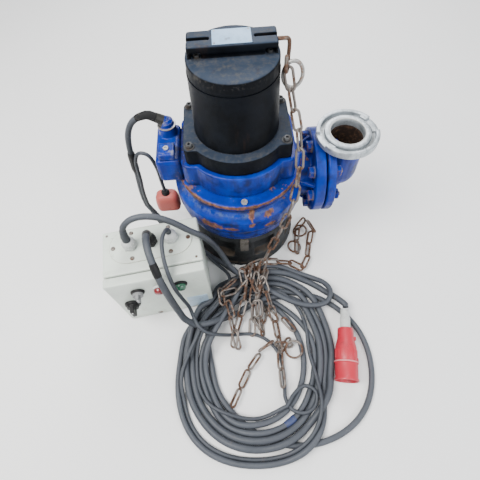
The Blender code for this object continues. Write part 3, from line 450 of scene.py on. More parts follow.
def boxPaint(name, look):
    finish = Finish(name, look["pale"])
    rise, over, noise = finish.rise, finish.over, finish.noise
    broad = noise(9.0, 4.0, 0.5)
    over(rise(broad, 0.35, 0.7), look["shade"])
    smear = rise(noise(26.0, 6.0, 0.7, (1.0, 1.0, 0.6), 0.6), 0.53, 0.74)
    over(smear * 0.42, look["smear"])
    over(rise(noise(170.0, 5.0, 0.7, (0.35, 1.0, 1.0)), 0.66, 0.73) * 0.55, look["scratch"])
    chipped = rise(finish.edges(0.0018, 0.02, 0.18) * 0.46 + noise(95.0, 6.0, 0.7) * 0.72, 0.68, 0.76)
    over(chipped * 0.85, look["rust"])
    over(rise(finish.along("Z"), 0.035, 0.0) * rise(broad, 0.3, 0.6) * 0.35, look["smear"])
    return finish.done(0.4 + smear * 0.25, noise(520.0, 2.0, 0.5) * 0.5 - chipped * 0.4, 0.0004, 0.5)


mouldings = {  # colour, darker dirt, roughness, shine, how little of it is dirty
    "plugRed": ((0.5, 0.021, 0.042), (0.23, 0.03, 0.034), 0.4, 0.5, 0.56),
    "floatSalmon": ((0.44, 0.095, 0.08), (0.13, 0.05, 0.048), 0.5, 0.4, 0.56),
    "plugPink": ((0.64, 0.21, 0.23), (0.4, 0.12, 0.13), 0.4, 0.5, 0.56),
    "lightGrey": ((0.56, 0.575, 0.56), (0.25, 0.245, 0.225), 0.46, 0.5, 0.56),
    "deepBlack": ((0.014, 0.014, 0.015), (0.075, 0.07, 0.062), 0.4, 0.15, 0.56),
    "sealRubber": ((0.016, 0.016, 0.017), (0.1, 0.092, 0.08), 0.72, 0.15, 0.56),
    "knobGrey": ((0.21, 0.215, 0.22), (0.1, 0.098, 0.092), 0.44, 0.4, 0.56),
    "labelBlue": ((0.47, 0.61, 0.74), (0.26, 0.3, 0.33), 0.34, 0.4, 0.56),
    "bundleTape": ((0.035, 0.052, 0.135), (0.09, 0.095, 0.12), 0.42, 0.4, 0.56),
    "pointerWhite": ((0.7, 0.7, 0.68), (0.3, 0.29, 0.27), 0.5, 0.5, 0.56),
    "dustyStrap": ((0.105, 0.097, 0.086), (0.03, 0.022, 0.017), 0.85, 0.3, 0.5),
}


def moulding(name, look):
    clean, dirt, roughness, shine, dirtLevel = look
    finish = Finish(name, clean)
    broad = finish.noise(30.0, 5.0, 0.6)
    grains = finish.noise(190.0, 5.0, 0.65)
    grubby = finish.rise(broad * 0.65 + grains * 0.4, dirtLevel, dirtLevel + 0.16)
    finish.over(grubby * 0.7, dirt)
    pale = tuple(min(1.0, part * 1.35 + 0.03) for part in clean)
    finish.over(finish.edges(0.0012, 0.02, 0.2) * finish.rise(grains, 0.42, 0.6) * 0.55, pale)
    skin = finish.noise(620.0, 2.0) * 0.5 + grains * 0.3
    return finish.done(roughness + grubby * 0.25, skin, 0.0003, 0.45, shine=shine)


lenses = {"greenLens": ((0.008, 0.055, 0.03), (0.02, 0.16, 0.08)),
          "redLens": ((0.09, 0.004, 0.008), (0.33, 0.01, 0.016))}


def lens(name, look):
    deep, bright = look
    finish = Finish(name, bright)
    facets = finish.give("ShaderNodeTexVoronoi", {"Vector": finish.where, "Scale": 900.0})
    film = finish.rise(finish.noise(160.0, 4.0), 0.5, 0.75)
    finish.over(finish.rise(facets, 0.1, 0.8), deep)
    finish.over(film * 0.25, (0.35, 0.34, 0.32))
    return finish.done(0.16 + film * 0.4, facets, 0.0002, 0.5, coat=0.6)


variants = (  # how a finish is made, its look, and what its variants differ in
    (castingBlue, castingPaint, {"castingBlue": {}, "boltBlue": {"rustLevel": 0.505},
                                 "elbowBlue": {"rustLevel": 0.575, "boreOf": (0.2225, 0.0, 0.0346)},
                                 "wornBlue": {"rustLevel": 0.58, "wear": 0.21, "sealed": True}}),
    (motorBlack, motorPaint, {"motorBlack": {}, "capBlack": {"dustShare": 1.25}}),
    (dustyIron, dustyCasting, {"dustyIron": {}}),
    (rustySteel, rustyLook, {"rustySteel": {"bareShare": 0.5}, "wornChain": {"bareShare": 0.44},
                             "rustyScrew": {"bareShare": 0.42}}),
    (cableJacket, jacketLook, {"thickJacket": {"paleness": 0.75}, "supplyJacket": {"paleness": 0.55},
                               "thinJacket": {"paleness": 0.25}}),
    (boxPaint, boxLook, {"boxPaint": {}}),
)


def makeMaterials():
    made = {}
    for make, look, named in variants:
        for name, differing in named.items():
            made[name] = make(name, look, **differing)
    for name, look in castMetals.items():
        made[name] = bareMetal(name, look, grooveShadeAndDirt if name == "castAluminium" else None)
    for name, look in mouldings.items():
        made[name] = moulding(name, look)
    for name, look in lenses.items():
        made[name] = lens(name, look)
    print("materials made:", len(made))
    return made


def meshPiece(name, shape, material=None, body=None, smooth=40.0):
    bmesh.ops.recalc_face_normals(shape, faces=shape.faces)
    mesh = bpy.data.meshes.new(name)
    shape.to_mesh(mesh)
    shape.free()
    piece = addObject(name, mesh)
    if material:
        mesh.materials.append(material)
    mesh.shade_smooth()
    mesh.set_sharp_from_angle(angle=math.radians(smooth))
    if body:
        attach(piece, body)
    return piece


def bakedMesh(piece):  # the modified mesh in place of the modifiers
    bpy.context.view_layer.update()
    graph = bpy.context.evaluated_depsgraph_get()
    mesh = bpy.data.meshes.new_from_object(piece.evaluated_get(graph))
    piece.modifiers.clear()
    piece.data = mesh
    return piece


def settled(piece, replaced=()):
    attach(piece, pumpBody)
    if replaced:
        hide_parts(*replaced)
    return piece


def smoothRoute(points, spacing):  # even points on a smooth curve through the route
    route = [Vector(point) for point in points]
    dense = []
    for index in range(len(route) - 1):
        before = route[index - 1] if index else 2 * route[0] - route[1]
        after = route[index + 2] if index + 2 < len(route) else 2 * route[-1] - route[-2]
        here, there = route[index], route[index + 1]
        for step in range(16):
            part = step / 16
            dense.append(0.5 * (2 * here + (there - before) * part
                                + (2 * before - 5 * here + 4 * there - after) * part ** 2
                                + (3 * here - before - 3 * there + after) * part ** 3))
    dense.append(route[-1])
    lengths = [0.0]
    for first, second in zip(dense, dense[1:]):
        lengths.append(lengths[-1] + (second - first).length)
    count = max(2, round(lengths[-1] / spacing))
    even = []
    cursor = 0
    for index in range(count + 1):
        want = lengths[-1] * index / count
        while cursor < len(dense) - 2 and lengths[cursor + 1] < want:
            cursor += 1
        span = max(lengths[cursor + 1] - lengths[cursor], 1e-9)
        even.append(dense[cursor].lerp(dense[cursor + 1], min(1.0, (want - lengths[cursor]) / span)))
    return even


pumpCable = {  # its route, in the order in which it lies
    "diameter": 0.0125,
    "length": 5.5,
    "fromPump": tenths(
        (-1543, 240, 3570), (-1645, 240, 3633), (-1800, 240, 3640), (-2020, 235, 3500), (-2170, 220, 3230),
        (-2250, 210, 2880)),
    "besideBox": tenths(
        (-2290, 200, 2480), (-2330, 200, 2000), (-2400, 210, 1450), (-2420, 200, 950), (-2340, 120, 520),
        (-2120, -80, 230), (-1850, -320, 150), (-1500, -560, 150), (-1230, -740, 158), (-939, -977, 172),
        (-700, -1210, 165), (-420, -1460, 120), (-290, -1620, 100)),
    "firstTurns": tenths(
        (100, -1850), (600, -1990), (1180, -2130), (1720, -2320), (2180, -2640), (2500, -3120), (2620, -3680),
        (2570, -4310), (2310, -4880), (1840, -5250), (1300, -5430), (790, -5480), (210, -5360), (-270, -5080),
        (-720, -4580), (-1030, -4020), (-1200, -3410), (-1070, -2850), (-680, -2280), (-120, -1940),
        (500, -1930), (1050, -2160), (1450, -2620), (1600, -3200), (1590, -3850), (1490, -4450),
        (1360, -5000), (1120, -5430), (700, -5660), (100, -5710), (-600, -5630), (-1180, -5360),
        (-1520, -4950), (-1680, -4450), (-1680, -3950), (-1550, -3450), (-1300, -2900), (-920, -2400),
        (-400, -2060), (140, -2090), (620, -2340), (1080, -2750), (1400, -3320), (1470, -4050), (1220, -4660),
        (760, -5080), (100, -5280), (-550, -5160), (-1030, -4740), (-1250, -4050), (-1210, -3320),
        (-880, -2640), (-360, -2140), (120, -2120), (550, -2320), (880, -2680), (1100, -3150), (1180, -3640),
        (1120, -4130), (910, -4560), (560, -4880), (70, -5060), (-400, -5030), (-830, -4740), (-1080, -4270)),
    "lastTurn": tenths(
        (-1140, -3650), (-990, -3020), (-620, -2360), (-40, -1830), (550, -1610), (1150, -1640),
        (1680, -1830), (2040, -2140), (2100, -2500), (1860, -2740), (1480, -2680), (1050, -2460),
        (640, -2240), (300, -2080)),
    "toBox": tenths(
        (-20, -1950, 480), (-160, -1860, 520), (-300, -1760, 640), (-450, -1640, 980), (-600, -1560, 1420),
        (-800, -1570, 1950), (-1090, -1580, 2320), (-1400, -1550, 2650), (-1720, -1540, 2850),
        (-2060, -1560, 2850), (-2290, -1610, 2650)),
}

supplyCable = {
    "diameter": 0.0145,
    "length": 2.82,
    "fromBox": tenths(
        (-1900, -1700, 2450), (-1860, -1900, 2540), (-1800, -2140, 2500), (-1720, -2380, 2340),
        (-1640, -2580, 2060), (-1560, -2720, 1650), (-1480, -2820, 1150), (-1380, -2920, 740),
        (-1200, -3010, 500)),
    "turns": tenths(
        (-970, -3020), (-630, -2820), (-250, -2580), (300, -2350), (850, -2250), (1260, -2420), (1500, -2850),
        (1600, -3350), (1550, -3950), (1340, -4550), (960, -5000), (450, -5280), (-280, -5280), (-900, -4970),
        (-1260, -4400), (-1340, -3700), (-1180, -3020), (-820, -2400), (-240, -1920), (400, -1730),
        (1000, -1830), (1440, -2150), (1680, -2620), (1740, -3150), (1640, -3780), (1480, -4400),
        (1160, -5000), (690, -5380), (0, -5480), (-680, -5320), (-1200, -4780), (-1420, -4050),
        (-1400, -3400), (-1200, -2780), (-820, -2230), (-280, -1820), (360, -1650), (960, -1700),
        (1500, -1880), (1920, -2160)),
    "toPlug": tenths((2115, -2395, 205), (2200, -2560, 255), (2215, -2691, 262), (2202, -2767, 262)),
}

floatCable = {
    "diameter": 0.008,
    "length": 2.95,
    "fromBox": tenths(
        (-1540, -1600, 2420), (-1580, -1760, 2440), (-1590, -1960, 2400), (-1560, -2200, 2300),
        (-1500, -2430, 2120), (-1450, -2560, 1750), (-1380, -2610, 1300), (-1300, -2660, 900),
        (-1240, -2820, 580), (-1180, -3070, 420)),
    "turns": tenths(
        (-1020, -3290), (-700, -3230), (-360, -3060), (-10, -3000), (320, -3140), (580, -3360), (720, -3680),
        (690, -4080), (610, -4480), (720, -4760), (980, -4850), (1220, -4720), (1260, -4460), (1040, -4330),
        (800, -4480), (560, -4760), (200, -4950), (-200, -5000), (-680, -4880), (-1070, -4530),
        (-1270, -4050), (-1300, -3550), (-1150, -3050), (-860, -2600), (-420, -2240), (120, -2060),
        (660, -2100), (1080, -2400), (1340, -2900), (1420, -3500), (1440, -4120), (1400, -4700),
        (1230, -5200), (900, -5530), (380, -5680), (-300, -5670), (-920, -5510), (-1360, -5150),
        (-1550, -4650), (-1560, -4100), (-1480, -3600), (-1270, -3080), (-960, -2620), (-620, -2240),
        (-330, -1920)),
    "toFloat": tenths(
        (-2130, 95, 2740), (-2000, 70, 2860), (-1850, 30, 2740), (-1782, 10, 2400), (-1780, 0, 2000),
        (-1780, 0, 1713), (-1780, 0, 1613)),
    "besideDistance": 0.0122,
    "besideLean": (0.45, -0.55, 0.7),
}

laying = {
    "spacing": 0.007,
    "bendRadius": 0.1,  # how sharply a cable humps over another
    "passes": 2,
    "heldHeight": 0.078,  # above this a cable hangs and nothing lies over it
    "smallLoop": (0.094, -0.458, 0.0345),  # x, y, radius: the float cable keeps this loop
    "ownReach": 0.055,
    "humpReach": 0.1,
    "cell": 0.016,
    "spreadPasses": 40,
    "push": 0.16,
    "evenOver": 6,
    "plugEnd": 12,
    "alike": 0.93,  # strands nearer to parallel than this slide apart
    "standClear": 0.1352,
    "boxHalf": (0.1015, 0.065),
    "boxMiddle": (0.0, 0.0405),
    "plugLine": ((0.22, -0.28), (0.1936, -0.4307)),
    "plugClear": (0.0125, 0.026),  # beside its nut and beside its front
    "frontLimit": -0.5795,
}

box = {
    "place": Vector((-0.185, -0.219, 0.0)),
    "turn": math.radians(7.3),
    "glandPitch": 0.042,
    "glandRow": 0.06,
    "glandTop": 0.2241,
}


def boxPoint(x, y, z):
    return box["place"] + Matrix.Rotation(box["turn"], 3, "Z") @ Vector((x, y, z))


def besideRoute(route, distance, lean):
    points = [Vector(point) for point in route]
    result = []
    for index, point in enumerate(points):
        along = (points[min(len(points) - 1, index + 1)] - points[max(0, index - 1)]).normalized()
        lean = Vector(lean)
        result.append(point + distance * (lean - lean.dot(along) * along).normalized())
    return result


def onFloor(points, diameter):
    return [Vector((x, y, diameter / 2)) for x, y in points]


def keptClear(point, radius, settings):  # the way out of the stand, the box and the plug
    push = Vector((0.0, 0.0))
    flat = Vector((point.x, point.y))
    inside = settings["standClear"] + radius - flat.length
    if inside > 0:
        push += flat.normalized() * inside
    turn = Matrix.Rotation(-box["turn"], 2)
    local = turn @ (flat - box["place"].to_2d()) - Vector(settings["boxMiddle"])
    over = [half + radius - abs(part) for half, part in zip(settings["boxHalf"], local)]
    if min(over) > 0:
        axis = over.index(min(over))
        step = Vector((0.0, 0.0))
        step[axis] = math.copysign(over[axis], local[axis])
        push += turn.transposed() @ step
    start, end = (Vector(place) for place in settings["plugLine"])
    part = max(0.0, min(1.0, (flat - start).dot(end - start) / (end - start).length_squared))
    nearest = start.lerp(end, part)
    room = settings["plugClear"][0] * (1 - part) + settings["plugClear"][1] * part
    inside = room + radius - (flat - nearest).length
    if inside > 0 and part > 0.12:
        push += (flat - nearest).normalized() * inside
    return push


def gridOf(entries, cell):  # what lies in each square cell of the floor
    grid = {}
    for point, entry in entries:
        grid.setdefault((int(point.x // cell), int(point.y // cell)), []).append(entry)
    return grid


def inGrid(grid, point, cell, own, apart):  # what lies round a point, apart from its own strand
    column, line = int(point.x // cell), int(point.y // cell)
    for x in (-1, 0, 1):
        for y in (-1, 0, 1):
            for entry in grid.get((column + x, line + y), ()):
                if entry[0] != own[0] or abs(entry[1] - own[1]) >= apart:
                    yield entry


def spreadStrands(rows, radii, settings):  # strands that run side by side slide off each other
    cell = settings["cell"]
    apart = int(settings["ownReach"] / settings["spacing"])
    wide = settings["evenOver"]
    x, y, reach = settings["smallLoop"]
    held = [[point.z > settings["heldHeight"]
             or (row is rows[-1] and math.hypot(point.x - x, point.y - y) < reach) for point, _ in row]
            for row in rows]
    for _ in range(settings["spreadPasses"]):
        ways = []
        for row in rows:
            steps = [row[min(index + 1, len(row) - 1)][0] - row[max(index - 1, 0)][0]
                     for index in range(len(row))]
            ways.append([step.to_2d().normalized() for step in steps])
        grid = gridOf([(point, (cable, index)) for cable, row in enumerate(rows)
                       for index, (point, _) in enumerate(row) if not held[cable][index]], cell)
        for cable, row in enumerate(rows):
            pushes = [Vector((0.0, 0.0)) for _ in row]
            for index, (point, _) in enumerate(row):
                if held[cable][index]:
                    continue
                for other, otherIndex in inGrid(grid, point, cell, (cable, index), apart):
                    if abs(ways[cable][index].dot(ways[other][otherIndex])) < settings["alike"]:
                        continue
                    away = point.to_2d() - rows[other][otherIndex][0].to_2d()
                    reach = radii[cable] + radii[other]
                    if 1e-6 < away.length < reach:
                        pushes[index] += away.normalized() * (reach - away.length) * settings["push"]
            for index, (point, _) in enumerate(row):
                if held[cable][index]:
                    continue
                around = pushes[max(0, index - wide):index + wide + 1]
                shift = sum(around, Vector((0.0, 0.0))) / len(around)
                if cable != 1 or index < len(row) - settings["plugEnd"]:
                    shift += keptClear(point, radii[cable], settings) * 0.5
                point.x += shift.x
                point.y = max(point.y + shift.y, settings["frontLimit"] + radii[cable])
        for cable, row in enumerate(rows):
            for _ in range(2):
                old = [point.copy() for point, _ in row]
                for index in range(2, len(row) - 2):
                    if not held[cable][index]:
                        row[index][0].xy = (old[index - 1].xy + 2 * old[index].xy + old[index + 1].xy) / 4


def layCables(cables, settings):  # each cable rests on the floor or on what was laid before it
    rows = [[(point, order) for points, order in cable["stretches"] for point in points] for cable in cables]
    radii = [cable["diameter"] / 2 for cable in cables]
    spreadStrands(rows, radii, settings)
    heights = [[point.z for point, _ in row] for row in rows]
    base = [list(row) for row in heights]
    cell, spacing, heldHeight = settings["cell"], settings["spacing"], settings["heldHeight"]
    apart = int(settings["ownReach"] / spacing)
    window = int(settings["humpReach"] / spacing)
    falls = [(step * spacing) ** 2 / (2 * settings["bendRadius"]) for step in range(window + 1)]
    stages = sorted({order for row in rows for _, order in row})
    for stage in [stage for stage in stages for _ in range(settings["passes"])]:
        grid = gridOf([(point, (cable, index, order)) for cable, row in enumerate(rows)
                       for index, (point, order) in enumerate(row)
                       if order <= stage and heights[cable][index] < heldHeight], cell)
        for cable, row in enumerate(rows):
            raised = list(heights[cable])
            for index, (point, order) in enumerate(row):
                need = base[cable][index]
                if order != stage or need > heldHeight:
                    continue
                for other, otherIndex, otherOrder in inGrid(grid, point, cell, (cable, index), apart):
                    if otherOrder == order and (other != cable or otherIndex > index - apart):
                        continue
                    under = rows[other][otherIndex][0]
                    reach = radii[cable] + radii[other]
                    gap = (under.x - point.x) ** 2 + (under.y - point.y) ** 2
                    if gap < reach ** 2:
                        need = max(need, heights[other][otherIndex] + math.sqrt(reach ** 2 - gap))
                if need > base[cable][index]:
                    for near in range(max(0, index - window), min(len(row), index + window + 1)):
                        raised[near] = max(raised[near], need - falls[abs(near - index)])
            heights[cable] = raised
    result = []
    for row, height in zip(rows, heights):
        evened = list(height)
        for index in range(3, len(row) - 3):
            around = height[index - 2:index + 3]
            evened[index] = sum(around) / len(around)
        result.append([Vector((point.x, point.y, z)) for (point, _), z in zip(row, evened)])
    return result


def cordCurve(name, points, diameter, material):
    curve = bpy.data.curves.new(name, "CURVE")
    curve.dimensions = "3D"
    curve.bevel_depth = diameter / 2
    curve.bevel_resolution = 4
    curve.use_fill_caps = True
    curve.materials.append(material)
    spline = curve.splines.new("POLY")
    spline.points.add(len(points) - 1)
    for target, point in zip(spline.points, points):
        target.co = (point.x, point.y, max(point.z, diameter / 2 + floorGap), 1.0)
    spline.use_smooth = True
    return settled(addObject(name, curve))


def fromBox(cable, sign, lift, lastPart, orders):  # a cable from its gland over the coil to its far end
    gland = boxPoint(sign * box["glandPitch"], box["glandRow"], box["glandTop"])
    whole = smoothRoute([gland + lift * up, *cable["fromBox"], *onFloor(cable["turns"], cable["diameter"]),
                         *lastPart[:-1]], laying["spacing"])
    whole = [gland, *whole, Vector(lastPart[-1])]
    landing = next(index for index, point in enumerate(whole) if point.z < 0.02)
    cable["stretches"] = [(whole[:landing], orders[0]), (whole[landing:], orders[1])]


def makeCables():
    pump, step = pumpCable, laying["spacing"]
    first, last = onFloor(pump["firstTurns"], pump["diameter"]), onFloor(pump["lastTurn"], pump["diameter"])
    low = smoothRoute([*pump["fromPump"][1:], *pump["besideBox"], *first, last[0]], step)
    gland = boxPoint(-box["glandPitch"], box["glandRow"], box["glandTop"])
    top = smoothRoute([*last, *pump["toBox"], gland + 0.012 * up], step)
    pump["stretches"] = [([Vector(pump["fromPump"][0])] + low, 0), (top[1:] + [gland], 3)]
    fromBox(supplyCable, 0, 0.008, supplyCable["toPlug"], (4, 1))
    beside = besideRoute(pump["besideBox"], floatCable["besideDistance"], floatCable["besideLean"])
    fromBox(floatCable, 1, 0.006, [*reversed(beside), *floatCable["toFloat"]], (5, 2))
    cords = []
    cables = (pump, supplyCable, floatCable)
    names = (("pumpCableLaid", "thickJacket"), ("supplyCableLaid", "supplyJacket"),
             ("floatCableLaid", "thinJacket"))
    for (name, jacket), cable, points in zip(names, cables, layCables(cables, laying)):
        cable["points"] = points
        cords.append(cordCurve(name, points, cable["diameter"], materials[jacket]))
        length = sum((after - before).length for before, after in zip(points, points[1:]))
        print(name, "length", round(length, 3))
    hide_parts("pump_cable_from_pump", "pump_cable_to_box", "cable_coil")
    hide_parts("supply_cable_from_box", "supply_cable_to_plug")
    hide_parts("float_cable_from_box", "float_cable_to_float")
    return cords


class Recipe(Nodes):  # one geometry node tree and what feeds it
    def __init__(self, name, inputs):
        super().__init__(bpy.data.node_groups.new(name, "GeometryNodeTree"))
        for label, kind in (("Geometry", "Geometry"), *inputs, ("Finish", "Material")):
            self.tree.interface.new_socket(label, in_out="INPUT", socket_type="NodeSocket" + kind)
        self.tree.interface.new_socket("Geometry", in_out="OUTPUT", socket_type="NodeSocketGeometry")
        self.given = {socket.name: Socket(self, socket) for socket in self.add("NodeGroupInput")}
        self.result = self.tree.nodes.new("NodeGroupOutput").inputs[0]

    def random(self, low, high, seed):
        values = {"Min": low, "Max": high, "Seed": seed}
        return self.give("FunctionNodeRandomValue", values, "Value", data_type="FLOAT")

    def turned(self, axis, angle):
        return self.give("FunctionNodeAxisAngleToRotation", {"Axis": axis, "Angle": angle})

    def close(self, points, instance, rotation):  # a copy at each point, as real geometry
        values = {"Points": points, "Instance": instance, "Rotation": rotation}
        copies = self.give("GeometryNodeInstanceOnPoints", values)
        values = {0: self.give("GeometryNodeRealizeInstances", {0: copies}), "Material": self.given["Finish"]}
        self.feed(self.result, self.give("GeometryNodeSetMaterial", values))
        return self

    def run(self, name, points, joined=False, **values):  # the tree's result as a plain mesh
        mesh = bpy.data.meshes.new(name)
        edges = [(index, index + 1) for index in range(len(points) - 1)] if joined else []
        mesh.from_pydata([tuple(point) for point in points], edges, [])
        piece = addObject(name, mesh)
        step = piece.modifiers.new("recipe", "NODES")
        step.node_group = self.tree
        for item in self.tree.interface.items_tree:
            if item.in_out == "INPUT" and item.name in values:
                step[item.identifier] = values[item.name]
        return bakedMesh(piece)


def linkRecipe():  # oval links along a line, each a quarter turn from the last
    sizes = ("Pitch", "Wire", "Length", "Width", "Roll", "Loose")
    recipe = Recipe("chainLinks", [(label, "Float") for label in sizes])
    given, give = recipe.given, recipe.give
    line = give("GeometryNodeMeshToCurve", {0: given["Geometry"]})
    places = recipe.add("GeometryNodeCurveToPoints", {0: line, "Length": given["Pitch"]}, mode="LENGTH")
    points, ahead = (Socket(recipe, places[label]) for label in ("Points", "Tangent"))
    size = {"Width": given["Length"], "Height": given["Width"]}
    oval = give("GeometryNodeCurvePrimitiveQuadrilateral", size, mode="RECTANGLE")
    corner = {0: oval, "Count": 5, "Radius": given["Width"] * 0.499}
    oval = give("GeometryNodeFilletCurve", corner, mode="POLY")
    wire = {"Resolution": 8, "Radius": given["Wire"]}
    wire = give("GeometryNodeCurvePrimitiveCircle", wire, "Curve", mode="RADIUS")
    link = give("GeometryNodeCurveToMesh", {0: oval, 1: wire})
    aimed = give("FunctionNodeAlignRotationToVector", {"Vector": ahead}, axis="X")
    turn = give("GeometryNodeInputIndex") * (math.pi / 2) + given["Roll"]
    turn = recipe.turned((1.0, 0.0, 0.0), turn + recipe.random(-1.0, 1.0, 5) * given["Loose"])
    rotation = give("FunctionNodeRotateRotation", {0: aimed, 1: turn}, rotation_space="LOCAL")
    return recipe.close(points, link, rotation)


def copiesRecipe():  # one head at each point, spun at random
    recipe = Recipe("headsOnPoints", [("Head", "Object")])
    head = recipe.give("GeometryNodeObjectInfo", {"Object": recipe.given["Head"]}, "Geometry")
    rotation = recipe.turned((0.0, 0.0, 1.0), recipe.random(0.0, 6.28, 11))
    return recipe.close(recipe.given["Geometry"], head, rotation)


def ringRecipe():  # copies of one shape round the Z axis
    inputs = (("Shape", "Object"), ("Count", "Int"), ("Radius", "Float"), ("Start", "Float"))
    recipe = Recipe("ringOfCopies", inputs)
    given, give = recipe.given, recipe.give
    shape = give("GeometryNodeObjectInfo", {"Object": given["Shape"]}, "Geometry")
    points = give("GeometryNodePoints", {"Count": given["Count"]})
    angle = give("GeometryNodeInputIndex") * round360 / given["Count"] + given["Start"]
    flat = [angle.taken(wave) * given["Radius"] for wave in ("COSINE", "SINE")]
    place = give("ShaderNodeCombineXYZ", dict(enumerate(flat)))
    points = give("GeometryNodeSetPosition", {0: points, "Position": place})
    return recipe.close(points, shape, recipe.turned((0.0, 0.0, 1.0), angle))


def headsPiece(name, head, points, material, replaced=()):
    piece = copies.run(name, points, Head=head, Finish=material)
    bpy.data.objects.remove(head, do_unlink=True)
    return settled(piece, replaced)


def ringPiece(name, shape, count, radius, material, place, axis, start=0.0, replaced=()):
    piece = rings.run(name, [(0.0, 0.0, 0.0)], Shape=shape, Count=count, Radius=radius, Start=start,
                      Finish=material)
    bpy.data.objects.remove(shape, do_unlink=True)
    piece.data.transform(placedAlong(place, axis))
    return settled(piece, replaced)


def placedAlong(place, axis):  # turns a shape made up +Z and puts its foot at the place
    turn = up.rotation_difference(Vector(axis).normalized())
    return Matrix.Translation(Vector(place)) @ turn.to_matrix().to_4x4()


def circle(radius, height, sides):
    angles = [round360 * index / sides for index in range(sides)]
    return [Vector((radius * math.cos(angle), radius * math.sin(angle), height)) for angle in angles]


def skinLoops(loops, closeLoop=False):
    shape = bmesh.new()
    rows = [[shape.verts.new(point) for point in loop] for loop in loops]
    pairs = list(zip(rows, rows[1:]))
    if closeLoop:
        pairs.append((rows[-1], rows[0]))
    for lower, upper in pairs:
        for index in range(len(lower)):
            after = (index + 1) % len(lower)
            shape.faces.new((lower[index], lower[after], upper[after], upper[index]))
    if not closeLoop:
        shape.faces.new(list(reversed(rows[0])))
        shape.faces.new(rows[-1])
    return shape


def turnedShape(profile, sides=64, hollow=False):
    return skinLoops([circle(radius, height, sides) for radius, height in profile], hollow)


def turnedPiece(name, profile, material, place, axis=up, sides=64, hollow=False, replaced=(), smooth=40.0):
    piece = meshPiece(name, turnedShape(profile, sides, hollow), material, None, smooth)
    piece.data.transform(placedAlong(place, axis))
    return settled(piece, replaced)


def bevelled(shape, edges, offset, segments):
    bmesh.ops.bevel(shape, geom=edges, offset=offset, segments=segments, profile=0.5, affect="EDGES",
                    clamp_overlap=True)


def blockShape(low, high, bevel=0.0, segments=3):
    shape = bmesh.new()
    size = [top - bottom for bottom, top in zip(low, high)]
    middle = [(top + bottom) / 2 for bottom, top in zip(low, high)]
    bmesh.ops.create_cube(shape, size=1.0, matrix=Matrix.Translation(middle) @ Matrix.Diagonal((*size, 1.0)))
    if bevel:
        bevelled(shape, list(shape.edges), bevel, segments)
    return shape


def arcBlockShape(inner, outer, bottom, top, startDegrees, endDegrees, steps, bevel):
    loops = []
    for index in range(steps + 1):
        angle = math.radians(startDegrees + (endDegrees - startDegrees) * index / steps)
        across = Vector((math.cos(angle), math.sin(angle), 0.0))
        loops.append([across * radius + up * height
                      for radius, height in ((inner, bottom), (outer, bottom), (outer, top), (inner, top))])
    shape = skinLoops(loops)
    bmesh.ops.recalc_face_normals(shape, faces=shape.faces)
    sharp = [edge for edge in shape.edges if len(edge.link_faces) == 2 and edge.calc_face_angle() > 0.9]
    bevelled(shape, sharp, bevel, 3)
    return shape


def tubeShape(path, radii, sides=16, closed=False):  # a round bar along a path
    loops = []
    side = None
    count = len(path)
    for index, point in enumerate(path):
        before = path[index - 1] if (index or closed) else point
        after = path[(index + 1) % count] if (index + 1 < count or closed) else point
        along = (after - before).normalized()
        if side is None:
            side = along.orthogonal().normalized()
        side = (side - side.dot(along) * along).normalized()
        across = along.cross(side)
        radius = radii[index] if isinstance(radii, (list, tuple)) else radii
        angles = [round360 * step / sides for step in range(sides)]
        loops.append([point + radius * (math.cos(angle) * side + math.sin(angle) * across)
                      for angle in angles])
    return skinLoops(loops, closed)


def cutAway(piece, cutter):
    step = piece.modifiers.new("cut", "BOOLEAN")
    step.operation = "DIFFERENCE"
    step.solver = "EXACT"
    step.object = cutter
    bakedMesh(piece)
    bpy.data.objects.remove(cutter, do_unlink=True)


def softCasting(name, nodeName, material, voxel, rounds, pockets=()):  # rounded edges over the exact shape
    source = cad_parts[nodeName]
    shape = bmesh.new()
    shape.from_mesh(source.data)
    shape.transform(source.matrix_world)
    bmesh.ops.remove_doubles(shape, verts=shape.verts, dist=0.00001)
    piece = meshPiece(name, shape, material)
    for low, high in pockets:
        cutAway(piece, meshPiece("pocketCutter", blockShape(low, high), material))
    remesh = piece.modifiers.new("even", "REMESH")
    remesh.mode = "VOXEL"
    remesh.voxel_size = voxel
    smoother = piece.modifiers.new("round", "SMOOTH")
    smoother.factor = 0.5
    smoother.iterations = rounds
    bakedMesh(piece)
    piece.data.shade_smooth()
    piece.data.materials.clear()
    piece.data.materials.append(material)
    return settled(piece, (nodeName,))


def hexBoltHead(width, height):  # on its washer; every head is made up +Z
    washer = turnedShape([(width * 0.62, 0.0), (width * 0.62, height * 0.16)], 32)
    head = turnedShape([(width * 0.56, height * 0.16), (width * 0.577, height * 0.24),
                        (width * 0.577, height * 0.86), (width * 0.5, height)], 6)
    whole = bmesh.new()
    for shape in (washer, head):
        mesh = bpy.data.meshes.new("headPart")
        bmesh.ops.recalc_face_normals(shape, faces=shape.faces)
        shape.to_mesh(mesh)
        shape.free()
        whole.from_mesh(mesh)
        bpy.data.meshes.remove(mesh)
    return meshPiece("hexHead", whole, smooth=35.0)


def socketHead(radius, height):
    sides = 24
    outer = ((radius * 0.96, 0.0), (radius, height * 0.08), (radius, height * 0.8), (radius * 0.9, height))
    loops = [circle(across, z, sides) for across, z in outer]
    for depth in (height, height * 0.42):  # the hexagon key's hole
        loop = []
        for index in range(sides):
            angle = round360 * index / sides
            within = (angle % (math.pi / 3)) - math.pi / 6
            reach = radius * 0.5 * math.cos(math.pi / 6) / math.cos(within)
            loop.append(Vector((reach * math.cos(angle), reach * math.sin(angle), depth)))
        loops.append(loop)
    return meshPiece("socketHead", skinLoops(loops), smooth=30.0)


